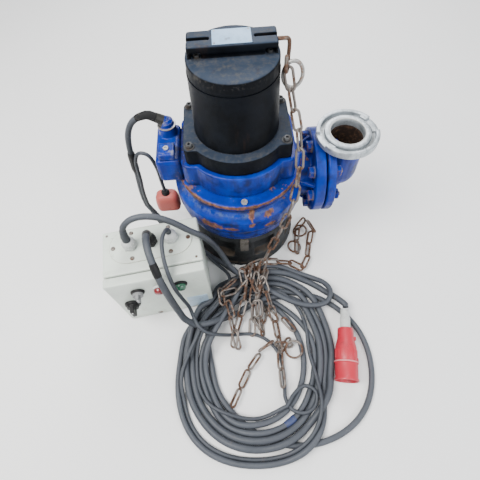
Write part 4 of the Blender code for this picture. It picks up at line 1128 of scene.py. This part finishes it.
def slottedHead(radius, height):
    dome = ((radius, 0.0), (radius, height * 0.35), (radius * 0.86, height * 0.75),
            (radius * 0.55, height * 0.95), (radius * 0.15, height))
    head = meshPiece("slottedHead", turnedShape(dome, 20))
    low, high = (-radius * 1.2, -radius * 0.13, height * 0.45), (radius * 1.2, radius * 0.13, height * 1.5)
    cutAway(head, meshPiece("slotCutter", blockShape(low, high)))
    return head


def rivetHead(radius, height):
    profile = ((radius, 0.0), (radius * 0.95, height * 0.4), (radius * 0.7, height * 0.8),
               (radius * 0.3, height))
    return meshPiece("rivetHead", turnedShape(profile, 14), smooth=60.0)


liftingChain = {  # one link's sizes and where its strands lie
    "pitch": 0.035,
    "wire": 0.0025,
    "long": 0.0398,
    "wide": 0.0144,
    "aboveRest": 0.0086,
    "sidewaysReach": 0.0085,
    "heldHeight": 0.07,  # above this a cable carries no links
    "hanging": tenths(
        (893, -90, 4670), (925, -190, 4330), (1040, -360, 3900), (1130, -560, 3500), (1130, -800, 3100),
        (1090, -1000, 2700), (1020, -1150, 2300), (900, -1270, 1900), (710, -1400, 1400), (540, -1490, 950),
        (410, -1610, 640), (330, -1800, 499)),
    "onCoil": (  # the strands of the heap
        tenths((330, -1820), (164, -1640), (5, -1680), (-88, -1902), (-36, -2159), (-150, -2563),
               (-300, -2948), (-374, -3240)),
        tenths((290, -1700), (214, -1977), (109, -2392), (42, -2980)),
        tenths((400, -1840), (325, -2062), (234, -2546), (264, -2990)),
        tenths((-420, -2052), (-600, -2215), (-585, -2436), (-433, -2614), (-425, -2894), (-340, -3280)),
        tenths((391, -2127), (494, -2507), (573, -2845), (604, -3168), (631, -3499), (599, -3772),
               (597, -4138)),
        tenths((522, -2716), (724, -2966), (865, -2980), (894, -3229), (740, -3438)),
        tenths((600, -1540), (420, -1540), (200, -1600), (50, -1740), (100, -1950), (160, -2150)),
        tenths((420, -1950), (300, -2240), (180, -2500), (140, -2820), (250, -2990), (350, -2700)),
        tenths((60, -1800), (-80, -2080), (-280, -2180), (-440, -2240))),
    "tail": tenths(
        (720, -3431), (450, -3400), (260, -3470), (100, -3656), (-79, -3879), (-228, -4118), (-422, -4465)),
    "onFloor": tenths(
        (600, -1520), (905, -1520), (1152, -1500), (1361, -1563), (1536, -1380), (1648, -1016), (1756, -666),
        (1840, -400), (1673, -200), (1500, -350), (1410, -640), (1363, -960)),
    "looseRings": (  # x, y, radius, tilt
        (0.1517, -0.0473, 0.0165, 0.2), (0.13, -0.0938, 0.016, -0.25), (0.0926, -0.3562, 0.0185, 0.1)),
}


def restHeight(x, y):  # the top of the cables under a point, or the floor
    top = 0.0
    for cable in (pumpCable, supplyCable, floatCable):
        radius = cable["diameter"] / 2
        reach = liftingChain["sidewaysReach"] + radius
        for point in cable["points"]:
            gap = math.hypot(point.x - x, point.y - y)
            if point.z < liftingChain["heldHeight"] and gap < reach:
                top = max(top, point.z + radius * math.sqrt(max(0.0, 1.0 - (gap / reach) ** 2)))
    return top


def restingLine(points, above, step=0.006, fall=0.72, near=8):
    line = smoothRoute([(x, y, 0.0) for x, y in points], step)
    heights = [restHeight(point.x, point.y) + above for point in line]
    raised = []
    for index in range(len(heights)):
        raised.append(max(heights[other] - fall * abs(other - index) * step
                          for other in range(max(0, index - near), min(len(heights), index + near + 1))))
    for index, point in enumerate(line):
        around = raised[max(0, index - 2):index + 3]
        point.z = max(raised[index], sum(around) / len(around))
    return line


def linksPiece(name, line, roll, loose, material, replaced=()):
    chain = liftingChain
    piece = links.run(name, line, True, Pitch=chain["pitch"], Wire=chain["wire"], Length=chain["long"],
                      Width=chain["wide"], Roll=math.radians(roll), Loose=loose, Finish=material)
    piece.data.shade_smooth()
    for vertex in piece.data.vertices:
        vertex.co.z = max(vertex.co.z, floorGap)
    return settled(piece, replaced)


def ringPath(middle, across, along, steps):  # a round that leans, from its two half widths
    path = []
    for step in range(steps):
        angle = round360 * step / steps
        path.append(Vector([place + first * math.cos(angle) + second * math.sin(angle)
                            for place, first, second in zip(middle, across, along)]))
    return path


def makeChain():
    rusty, worn = materials["rustySteel"], materials["wornChain"]
    chain = liftingChain
    hanging = smoothRoute(chain["hanging"], chain["pitch"])
    middles = [(first + second) / 2 for first, second in zip(hanging, hanging[1:])]
    linksPiece("hangingLinks", middles, 90, 0.25, worn, ("lifting_chain",))
    inHeap = {1: ("chain_on_coil",), 5: ("chain_beside_plug",)}
    strands = [(f"heapLinks{number}", strand, worn, inHeap.get(number, ()))
               for number, strand in enumerate(chain["onCoil"], 1)]
    strands.append(("tailLinks", chain["tail"], worn, ("chain_tail",)))
    strands.append(("floorLinks", chain["onFloor"], rusty, ("chain_on_floor",)))
    for name, strand, finish, replaced in strands:
        linksPiece(name, restingLine(strand, chain["aboveRest"]), 45, 0.2, finish, replaced)
    for number, (x, y, radius, tilt) in enumerate(chain["looseRings"], 1):
        sides = ((x + radius, y), (x - radius, y), (x, y + radius), (x, y - radius))
        rise = max(restHeight(*side) for side in sides) + chain["wire"] + 0.0008 + radius * abs(tilt)
        path = ringPath((x, y, rise), (radius, 0.0, radius * tilt), (0.0, radius, 0.0), 40)
        meshPiece(f"looseRing{number}", tubeShape(path, chain["wire"], 10, True), rusty, pumpBody)
    print("chain made")


liftingRing = {
    "middle": (0.0975, -0.005, 0.451),
    "across": (0.0165, 0.0, 0.0),
    "along": (0.0, 0.003375, 0.022275),
    "wire": 0.0033,
}
handleShackle = {
    "wire": 0.0032,
    "route": tenths(
        (400, 40, 5085), (780, 40, 5085), (860, 48, 5075), (890, 58, 5020), (898, 65, 4900), (898, 65, 4690),
        (896, 45, 4635), (888, 0, 4615), (862, -100, 4615), (842, -145, 4635), (830, -165, 4690),
        (830, -150, 4930)),
}


def makeShackle():
    route = smoothRoute(handleShackle["route"], 0.0025)
    wire = handleShackle["wire"]
    radii = [wire] * (len(route) - 1) + [wire * 0.6]
    rod = meshPiece("shackleRod", tubeShape(route, radii), materials["rustySteel"])
    settled(rod, ("handle_shackle",))
    path = ringPath(liftingRing["middle"], liftingRing["across"], liftingRing["along"], 56)
    ring = meshPiece("zincRing", tubeShape(path, liftingRing["wire"], 14, True), materials["zincSteel"])
    settled(ring, ("chain_ring",))
    print("shackle and ring made")


castings = {  # piece: CAD node, finish, voxel, rounds
    "standCasting": ("stand_ring", "dustyIron", 0.0026, 3),
    "voluteCasting": ("volute_casing", "castingBlue", 0.0024, 4),
    "elbowCasting": ("discharge_elbow", "elbowBlue", 0.0019, 3),
    "oilChamberCasting": ("oil_chamber", "castingBlue", 0.0022, 3),
    "cableEntryCasting": ("cable_entry_housing", "castingBlue", 0.0014, 3),
    "motorFlangeCasting": ("motor_flange", "motorBlack", 0.0021, 3),
    "motorCapCasting": ("motor_cap", "capBlack", 0.0014, 3),
    "clampPad": ("entry_clamp_pad", "wornBlue", 0.001, 3),
}

outlet = {
    "height": 0.2,
    "flangeBack": 0.155,
    "elbowFace": 0.1979,
    "boltCircle": 0.0725,
    "boltWidth": 0.0215,
    "boltHead": 0.012,
    "nutHead": 0.011,
    "stud": tenths((52, 0), (52, 135), (42, 145)),
    "ribHalf": 0.0035,
    "ribSide": tenths((480, 0), (790, 0), (790, 40), (480, 420)),  # reach, depth
    "seat": 0.0003,
    "ribSunk": 0.0005,
}

motor = {
    "profile": tenths((803, 3518), (803, 3565), (796, 3582), (766, 4630), (769, 4645), (769, 4699)),
    "screws": tenths((-895, -530, 3518), (895, -530, 3518), (-895, 530, 3518), (895, 530, 3518)),
    "screwHead": (0.0062, 0.0075),  # radius, height
    "washer": tenths((66, 0), (94, 0), (96, 6), (94, 12), (66, 12)),
    "washerFoot": 0.3516,
    "capScrews": tenths((-565, -60, 4938), (585, -60, 4938)),
    "capHead": (0.0046, 0.005),
    "capPockets": (  # low and high corners of the recess under the bar
        tenths((-650, -400, 4942), (-480, 70, 5075)), tenths((500, -400, 4942), (670, 70, 5075)),
        tenths((-700, -400, 4942), (700, -125, 5045))),
    "plateHalf": (0.03, 0.019),
    "plateMiddle": (0.0, 0.004, 0.5172),
    "plateThickness": 0.0008,
    "rivet": (0.0015, 0.0008),
    "rivetInset": 0.0035,
    "rivetFoot": 0.5179,
}

fittings = {  # small pieces on the pump
    "glandRing": tenths((160, 0), (180, 3), (184, 12), (180, 21), (160, 24)),
    "glandRingFoot": (-0.137, 0.024, 0.3372),
    "padScrew": (-0.137, -0.036, 0.3339),
    "padHead": (0.0054, 0.0034),
    "screwPlug": (0.0046, -0.1198, 0.2583),
    "plugHead": (0.0066, 0.0042),
    "strap": tenths((-98, -1334, 770), (98, -1262, 1262)),
}


def makePump():
    for name, (nodeName, finish, voxel, rounds) in castings.items():
        pockets = motor["capPockets"] if name == "motorCapCasting" else ()
        softCasting(name, nodeName, materials[finish], voxel, rounds, pockets)
    zinc, dull, blue = materials["zincSteel"], materials["dulledSteel"], materials["boltBlue"]
    left, turn, ring = Vector((-1.0, 0.0, 0.0)), math.radians(45), outlet["boltCircle"]
    bolt, nut = (hexBoltHead(outlet["boltWidth"], outlet[part]) for part in ("boltHead", "nutHead"))
    back = (outlet["flangeBack"] - outlet["seat"], 0.0, outlet["height"])
    face = (outlet["elbowFace"], 0.0, outlet["height"])
    ringPiece("outletBolts", bolt, 8, ring, blue, back, left, turn,
              ("discharge_bolt_back_high", "discharge_bolt_back_low", "discharge_bolt_front_high",
               "discharge_bolt_front_low"))
    ringPiece("outletNuts", nut, 8, ring, blue, face, -left, turn)
    stud = meshPiece("studEnd", turnedShape(outlet["stud"], 16), smooth=30.0)
    ringPiece("outletStuds", stud, 8, ring, materials["rustySteel"], face, -left, turn)
    half = outlet["ribHalf"]
    rib = skinLoops([[Vector((reach, y, depth)) for reach, depth in outlet["ribSide"]]
                     for y in (-half, half)])
    bmesh.ops.bevel(rib, geom=list(rib.edges), offset=0.0012, segments=2, profile=0.5, affect="EDGES")
    ringPiece("neckRibs", meshPiece("rib", rib), 4, 0.0, materials["castingBlue"],
              (outlet["flangeBack"] + outlet["ribSunk"], 0.0, outlet["height"]), left, turn / 2)
    turnedPiece("motorShell", motor["profile"], materials["motorBlack"], (0.0, 0.0, 0.0), sides=96,
                replaced=("motor_housing",))
    headsPiece("flangeScrews", socketHead(*motor["screwHead"]), motor["screws"], dull,
               ("flange_bolt_front_left", "flange_bolt_front_right", "flange_bolt_back_left",
                "flange_bolt_back_right"))
    for x, y, _ in motor["screws"]:
        label = ("left" if x < 0 else "right") + ("Front" if y < 0 else "Back")
        turnedPiece("flangeWasher" + label, motor["washer"], dull, (x, y, motor["washerFoot"]), sides=32,
                    hollow=True)
    headsPiece("capScrews", socketHead(*motor["capHead"]), motor["capScrews"], dull)
    x, y, z = motor["plateMiddle"]
    halfX, halfY = motor["plateHalf"]
    plate = blockShape((x - halfX, y - halfY, z), (x + halfX, y + halfY, z + motor["plateThickness"]),
                       0.0003, 1)
    settled(meshPiece("barePlate", plate, materials["brightPlate"]), ("rating_plate",))
    halfX, halfY = halfX - motor["rivetInset"], halfY - motor["rivetInset"]
    corners = [(x + signX * halfX, y + signY * halfY, motor["rivetFoot"])
               for signX in (-1, 1) for signY in (-1, 1)]
    headsPiece("plateRivets", rivetHead(*motor["rivet"]), corners, zinc)
    turnedPiece("glandRing", fittings["glandRing"], zinc, fittings["glandRingFoot"], sides=40, hollow=True)
    headsPiece("padScrew", socketHead(*fittings["padHead"]), [fittings["padScrew"]], zinc)
    headsPiece("screwPlug", socketHead(*fittings["plugHead"]), [fittings["screwPlug"]], zinc, ("oil_plug",))
    meshPiece("standStrap", blockShape(*fittings["strap"], 0.0016, 3), materials["dustyStrap"], pumpBody)
    print("pump castings made")


coupling = {  # claw hose coupling on the elbow
    "middle": Vector((0.2225, 0.0, 0.0)),
    "base": tenths((335, 2937), (600, 2937), (618, 2942), (626, 2955), (626, 3030), (470, 3030), (468, 3070),
                   (462, 3084), (448, 3090), (375, 3090), (358, 3084), (350, 3070), (337, 3036)),
    "seal": tenths((352, 3060), (352, 3092), (360, 3097), (372, 3094), (372, 3060)),
    "rimInner": 0.0548,
    "rimOuter": 0.063,
    "rimBottom": 0.295,
    "rimTop": 0.3102,
    "breaks": (-2.0, 34.0),
    "hookInner": 0.05,
    "hookWidth": 17.0,
    "padTop": 0.3052,
    "edge": 0.0011,
}


def makeCoupling():
    middle, metal = coupling["middle"], materials["castAluminium"]
    turnedPiece("couplingBody", coupling["base"], metal, middle, sides=96, hollow=True,
                replaced=("coupling_ring",))
    low, high = coupling["breaks"]
    inner, outer, top = coupling["rimInner"], coupling["rimOuter"], coupling["rimTop"]
    arcs = (  # kind, inner and outer radius, top, start and end in degrees, steps
        ("rim", inner, outer, top, high, 180.0 + low, 40),
        ("hook", coupling["hookInner"], inner + 0.002, top - 0.001, high, high + coupling["hookWidth"], 8),
        ("pad", inner - 0.006, outer, coupling["padTop"], low - 1.0, high + 1.0, 12))
    for side, turn in (("Right", 0.0), ("Left", 180.0)):
        for kind, near, far, above, start, end, steps in arcs:
            arc = arcBlockShape(near, far, coupling["rimBottom"], above, turn + start, turn + end, steps,
                                coupling["edge"])
            arc.transform(Matrix.Translation(middle))
            meshPiece(kind + side, arc, metal, pumpBody, 50.0)
    turnedPiece("couplingSeal", coupling["seal"], materials["lightGrey"], middle, hollow=True)
    print("coupling made")


controlBox = {
    "door": -0.023,
    "deviceHeight": 0.153,
    "devicePitch": 0.044,
    "plateTop": 0.1993,
    "plateScrews": tenths((-768, 600), (-390, 300), (390, 300), (385, 880), (770, 560), (-390, 890)),
    "edgeTop": 0.1968,
    "edgeScrews": tenths((880, 90), (-900, 940)),
    "latch": (-0.029, 0.011),
    "switch": (-0.07, 0.098),
    "hinge": (-0.1003, -0.004),
    "hingeFeet": (0.028, 0.144),
    "glandFoot": 0.1996,
    "glandRidge": tenths((-5, -11, 106), (8, 11, 172)),
    "markHalf": 0.0008,
    "slot": tenths((40, 19, 8), (40, 12, 8)),  # half width, how far it stands out, half height
}

boxTurn = Matrix.Rotation(box["turn"], 4, "Z")
boxMatrix = Matrix.Translation(box["place"]) @ boxTurn
doorWay = boxTurn @ Vector((0.0, -1.0, 0.0))

doorProfiles = {  # radius, how far it stands out of the door
    "bezel": tenths((132, 3), (145, 5), (145, 24), (138, 40), (126, 50), (114, 46)),
    "lens": tenths((110, 50), (110, 78), (104, 108), (88, 134), (62, 149), (30, 155)),
    "switch": tenths((170, 3), (172, 12), (170, 36), (160, 56), (146, 60)),
    "latch": tenths((52, 0), (62, 2), (62, 10), (54, 15)),
    "hinge": tenths((26, 0), (31, 5), (31, 235), (26, 240)),
    "glandHex": tenths((143, 0), (150, 6), (150, 70), (143, 78)),
    "glandCap": tenths((140, 79), (142, 84), (142, 96), (133, 102), (131, 168), (122, 195), (108, 216)),
}


def doorTurned(name, profile, x, z, finish, replaced=()):
    place = boxPoint(x, controlBox["door"], z)
    turnedPiece(name, doorProfiles[profile], materials[finish], place, doorWay, 48, replaced=replaced)


def doorBlock(name, low, high, bevel, finish, body):
    shape = blockShape(low, high, bevel, 1)
    shape.transform(boxMatrix)
    meshPiece(name, shape, materials[finish], body)


def makeGland(label, sign, finish, cable):
    metal = materials[finish]
    centre = boxPoint(sign * box["glandPitch"], box["glandRow"], controlBox["glandFoot"])
    turnedPiece("glandHex" + label, doorProfiles["glandHex"], metal, centre, sides=6, smooth=25.0,
                replaced=("box_gland_" + label.lower(),))
    mouth = cable["diameter"] / 2 + 0.0006
    cap = (*doorProfiles["glandCap"], (mouth + 0.0018, 0.0232), (mouth, 0.0236))
    turnedPiece("glandCap" + label, cap, metal, centre, sides=48)
    ridge = meshPiece("ridge", blockShape(*controlBox["glandRidge"], 0.0003, 2))
    ringPiece("glandRidges" + label, ridge, 14, 0.0131, metal, centre, up)


def makeBox():
    door = controlBox["door"]
    makeGland("Left", -1, "lightGrey", pumpCable)
    makeGland("Middle", 0, "deepBlack", supplyCable)
    makeGland("Right", 1, "lightGrey", floatCable)
    for name, radius, height, top in (("plateScrews", 0.0047, 0.0024, "plateTop"),
                                      ("edgeScrews", 0.0026, 0.0016, "edgeTop")):
        heads = [boxPoint(x, y, controlBox[top]) for x, y in controlBox[name]]
        headsPiece(name, slottedHead(radius, height), heads, materials["rustyScrew"])
    pitch, height = controlBox["devicePitch"], controlBox["deviceHeight"]
    x, z = controlBox["switch"]
    latchX, latchZ = controlBox["latch"]
    doorTurned("selectorRing", "bezel", -pitch, height, "deepBlack", ("selector_bezel",))
    doorTurned("redRing", "bezel", 0.0, height, "lightGrey", ("red_lamp_bezel",))
    doorTurned("greenRing", "bezel", pitch, height, "deepBlack", ("green_lamp_bezel",))
    doorTurned("redLampLens", "lens", 0.0, height, "redLens", ("red_lamp_lens",))
    doorTurned("greenLampLens", "lens", pitch, height, "greenLens", ("green_lamp_lens",))
    doorTurned("switchBase", "switch", x, z, "deepBlack", ("main_switch_base",))
    marks = (  # body, x, z, how far its face stands out, where the mark starts and ends over z
        ("main_switch_handle", x, z, 0.0263, 0.003, 0.011),
        ("selector_knob", -pitch, height, 0.0213, 0.0014, 0.0095))
    for body, markX, markZ, out, low, high in marks:
        half = controlBox["markHalf"]
        doorBlock(body + "Mark", (markX - half, door - out - 0.0004, markZ + low),
                  (markX + half, door - out + 0.0003, markZ + high), 0.0002, "pointerWhite", body)
    doorTurned("latchRing", "latch", latchX, latchZ, "zincSteel")
    (half, out, high), (_, foot, _) = controlBox["slot"]
    doorBlock("latchSlot", (latchX - half, door - out, latchZ - high),
              (latchX + half, door - foot, latchZ + high), 0.0, "deepBlack", pumpBody)
    for name, z in zip(("hingeLow", "hingeHigh"), controlBox["hingeFeet"]):
        place = boxPoint(*controlBox["hinge"], z)
        turnedPiece(name, doorProfiles["hinge"], materials["boxPaint"], place, sides=20)
    sleeves = (  # name, path out of the housing, radius there and at the sleeve's end, finish
        ("sleeveLeft", pumpCable["points"][:-6:-1], 0.0086, 0.0066, "thickJacket"),
        ("sleeveMiddle", supplyCable["points"][:5], 0.0096, 0.0076, "deepBlack"),
        ("sleeveRight", floatCable["points"][:4], 0.006, 0.0044, "thinJacket"),
        ("sleevePump", pumpCable["points"][:6], 0.0092, 0.0067, "sealRubber"))
    for name, path, start, end, finish in sleeves:
        radii = [start + (end - start) * index / (len(path) - 1) for index in range(len(path))]
        meshPiece(name, tubeShape(path, radii, 24), materials[finish], pumpBody)
    print("control box made")


plug = {
    "start": Vector((0.2201, -0.277, 0.0262)),
    "axis": Vector((-0.17, -0.9854, 0.0)),
    "nutLong": 0.044,
    "bodyLong": 0.072,
    "nut": tenths((86, 0), (93, 6), (96, 60), (101, 180), (108, 200), (109, 420), (104, 440)),
    "body": tenths((150, 0), (165, 8), (172, 30), (175, 120), (179, 220), (192, 290), (214, 360), (226, 425),
                   (231, 500), (232, 710), (228, 720)),
    "front": tenths((236, 0), (249, 2), (255, 10), (255, 40), (241, 52), (237, 335), (249, 355), (251, 392),
                    (247, 400), (228, 400), (224, 388), (221, 80), (214, 72)),
    "ring": tenths((240, 4), (258, 6), (261, 20), (258, 34), (240, 36)),
    "pin": tenths((30, 72), (30, 270), (22, 290)),
    "seam": 0.0003,
    "ridge": tenths((-4, -9, 205), (6, 9, 415)),
    "ridgeCircle": 0.0109,
    "grip": tenths((-6, -14, 480), (8, 14, 660)),
    "gripCircle": 0.0231,
    "pinCircle": 0.0125,
    "stud": tenths((-35, -60, -40), (35, 60, 40)),
    "studs": (  # name, reach along the plug, how far out, share of that
        ("plugCatch", 0.004, 0.0228, 0.8), ("plugKey", 0.05, 0.0215, 1.0)),
}


def makePlug():
    start, axis = plug["start"], plug["axis"]
    red, grey = materials["plugRed"], materials["lightGrey"]
    bodyStart = start + axis * (plug["nutLong"] + plug["seam"])
    frontStart = bodyStart + axis * (plug["bodyLong"] + plug["seam"])
    ridge = meshPiece("ridge", blockShape(*plug["ridge"], 0.0003, 2))
    grip = meshPiece("grip", blockShape(*plug["grip"], 0.0005, 2))
    pin = meshPiece("pin", turnedShape(plug["pin"], 16), smooth=30.0)
    pieces = [
        turnedPiece("plugNut", plug["nut"], grey, start, axis, 48, replaced=("plug_nut",)),
        ringPiece("plugNutRidges", ridge, 18, plug["ridgeCircle"], grey, start, axis),
        turnedPiece("plugShell", plug["body"], red, bodyStart, axis, replaced=("plug_body",)),
        ringPiece("plugGrips", grip, 20, plug["gripCircle"], red, bodyStart, axis, math.radians(9)),
        turnedPiece("plugSleeve", plug["front"], red, frontStart, axis, replaced=("plug_front",)),
        turnedPiece("plugRing", plug["ring"], materials["plugPink"], frontStart, axis, hollow=True),
        ringPiece("plugPins", pin, 5, plug["pinCircle"], materials["zincSteel"], frontStart, axis),
    ]
    across = axis.cross(up).normalized() * -1.0
    turn = Matrix((across, up, axis)).transposed().to_4x4()
    for name, reach, out, share in plug["studs"]:
        shape = blockShape(*plug["stud"], 0.0012)
        middle = bodyStart + axis * (plug["bodyLong"] * 0.25 + reach) + across * out * share
        shape.transform(Matrix.Translation(middle) @ turn)
        pieces.append(meshPiece(name, shape, red, pumpBody))
    print("plug made")
    return pieces


floatSwitch = {
    "centre": (-0.178, 0.0),
    "rows": tenths(  # half width, half depth, height
        (190, 110, 962), (252, 156, 977), (276, 176, 1010), (280, 180, 1060), (280, 180, 1160),
        (276, 179, 1270), (268, 176, 1350), (245, 164, 1425), (200, 140, 1475), (130, 102, 1500)),
    "collar": tenths((88, 1503), (95, 1508), (95, 1530), (86, 1536), (86, 1548), (92, 1553), (92, 1572),
                     (80, 1584), (66, 1606), (50, 1610)),
    "seamRadius": 0.0009,
    "cornerShare": 0.62,
    "cornerSteps": 6,
}


def roundedLoop(halfX, halfY, height):
    x, y = floatSwitch["centre"]
    radius, steps = min(halfX, halfY) * floatSwitch["cornerShare"], floatSwitch["cornerSteps"]
    loop = []
    for signX, signY, start in ((1, 1, 0), (-1, 1, 90), (-1, -1, 180), (1, -1, 270)):
        for step in range(steps + 1):
            angle = math.radians(start + 90 * step / steps)
            loop.append(Vector((x + signX * (halfX - radius) + radius * math.cos(angle),
                                y + signY * (halfY - radius) + radius * math.sin(angle), height)))
    return loop


def makeFloat():
    (x, y), rows = floatSwitch["centre"], floatSwitch["rows"]
    salmon = materials["floatSalmon"]
    shell = meshPiece("floatShell", skinLoops([roundedLoop(*row) for row in rows]), salmon, smooth=80.0)
    settled(shell, ("float_body",))
    seam = [Vector((x + halfX, y, height)) for halfX, _, height in rows]
    seam += [Vector((x - halfX, y, height)) for halfX, _, height in reversed(rows)]
    band = meshPiece("floatSeam", tubeShape(seam, floatSwitch["seamRadius"], 8, True), salmon, pumpBody, 80.0)
    collar = turnedPiece("floatCollar", floatSwitch["collar"], materials["deepBlack"], (x, y, 0.0), sides=32,
                         replaced=("float_collar",))
    print("float made")
    return [collar, shell, band]


tapes = (  # piece, cable, nearest point, length, extra radius, finish
    ("pumpCableTape", "pump", (0.076, -0.508, 0.02), 0.026, 0.0012, "bundleTape"),
    ("cableJoint", "pump", (-0.229, 0.02, 0.245), 0.05, 0.0022, "deepBlack"),
    ("supplyTape", "supply", (-0.172, -0.238, 0.234), 0.022, 0.0009, "deepBlack"),
)


def makeTapes():
    taped = {"pump": pumpCable, "supply": supplyCable}
    found = {"pump": [], "supply": []}
    for name, cable, place, long, extra, finish in tapes:
        points, radius = taped[cable]["points"], taped[cable]["diameter"] / 2
        nearest = min(range(len(points)), key=lambda index: (points[index] - Vector(place)).length)
        half = max(1, round(long / 2 / laying["spacing"]))
        path = [Vector((point.x, point.y, max(point.z, radius + extra)))
                for point in points[nearest - half:nearest + half + 1]]
        radii = [radius + extra * (0.5 if index in (0, len(path) - 1) else 1.0) for index in range(len(path))]
        found[cable].append(meshPiece(name, tubeShape(path, radii, 20), materials[finish], pumpBody))
    print("tapes made")
    return found


nodeFinishes = {  # CAD nodes that stay in the scene
    "discharge_gasket": "sealRubber", "pump_gland": "wornBlue", "box_body": "boxPaint",
    "box_door": "boxPaint", "door_seal": "sealRubber", "gland_plate": "boxPaint",
    "selector_knob": "knobGrey", "main_switch_handle": "deepBlack", "door_label": "labelBlue",
}


def finishNodes():
    for name, finish in nodeFinishes.items():
        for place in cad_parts[name].material_slots:
            place.material = materials[finish]
    print("CAD nodes finished:", len(nodeFinishes))


makeCamera(viewPoint)
materials = makeMaterials()
links, copies, rings = linkRecipe(), copiesRecipe(), ringRecipe()
cords = makeCables()
makeChain()
makeShackle()
makePump()
makeCoupling()
makeBox()
plugPieces = makePlug()
floatPieces = makeFloat()
tapePieces = makeTapes()
finishNodes()
plugPieces + tapePieces["supply"]
makeStudio(studio)
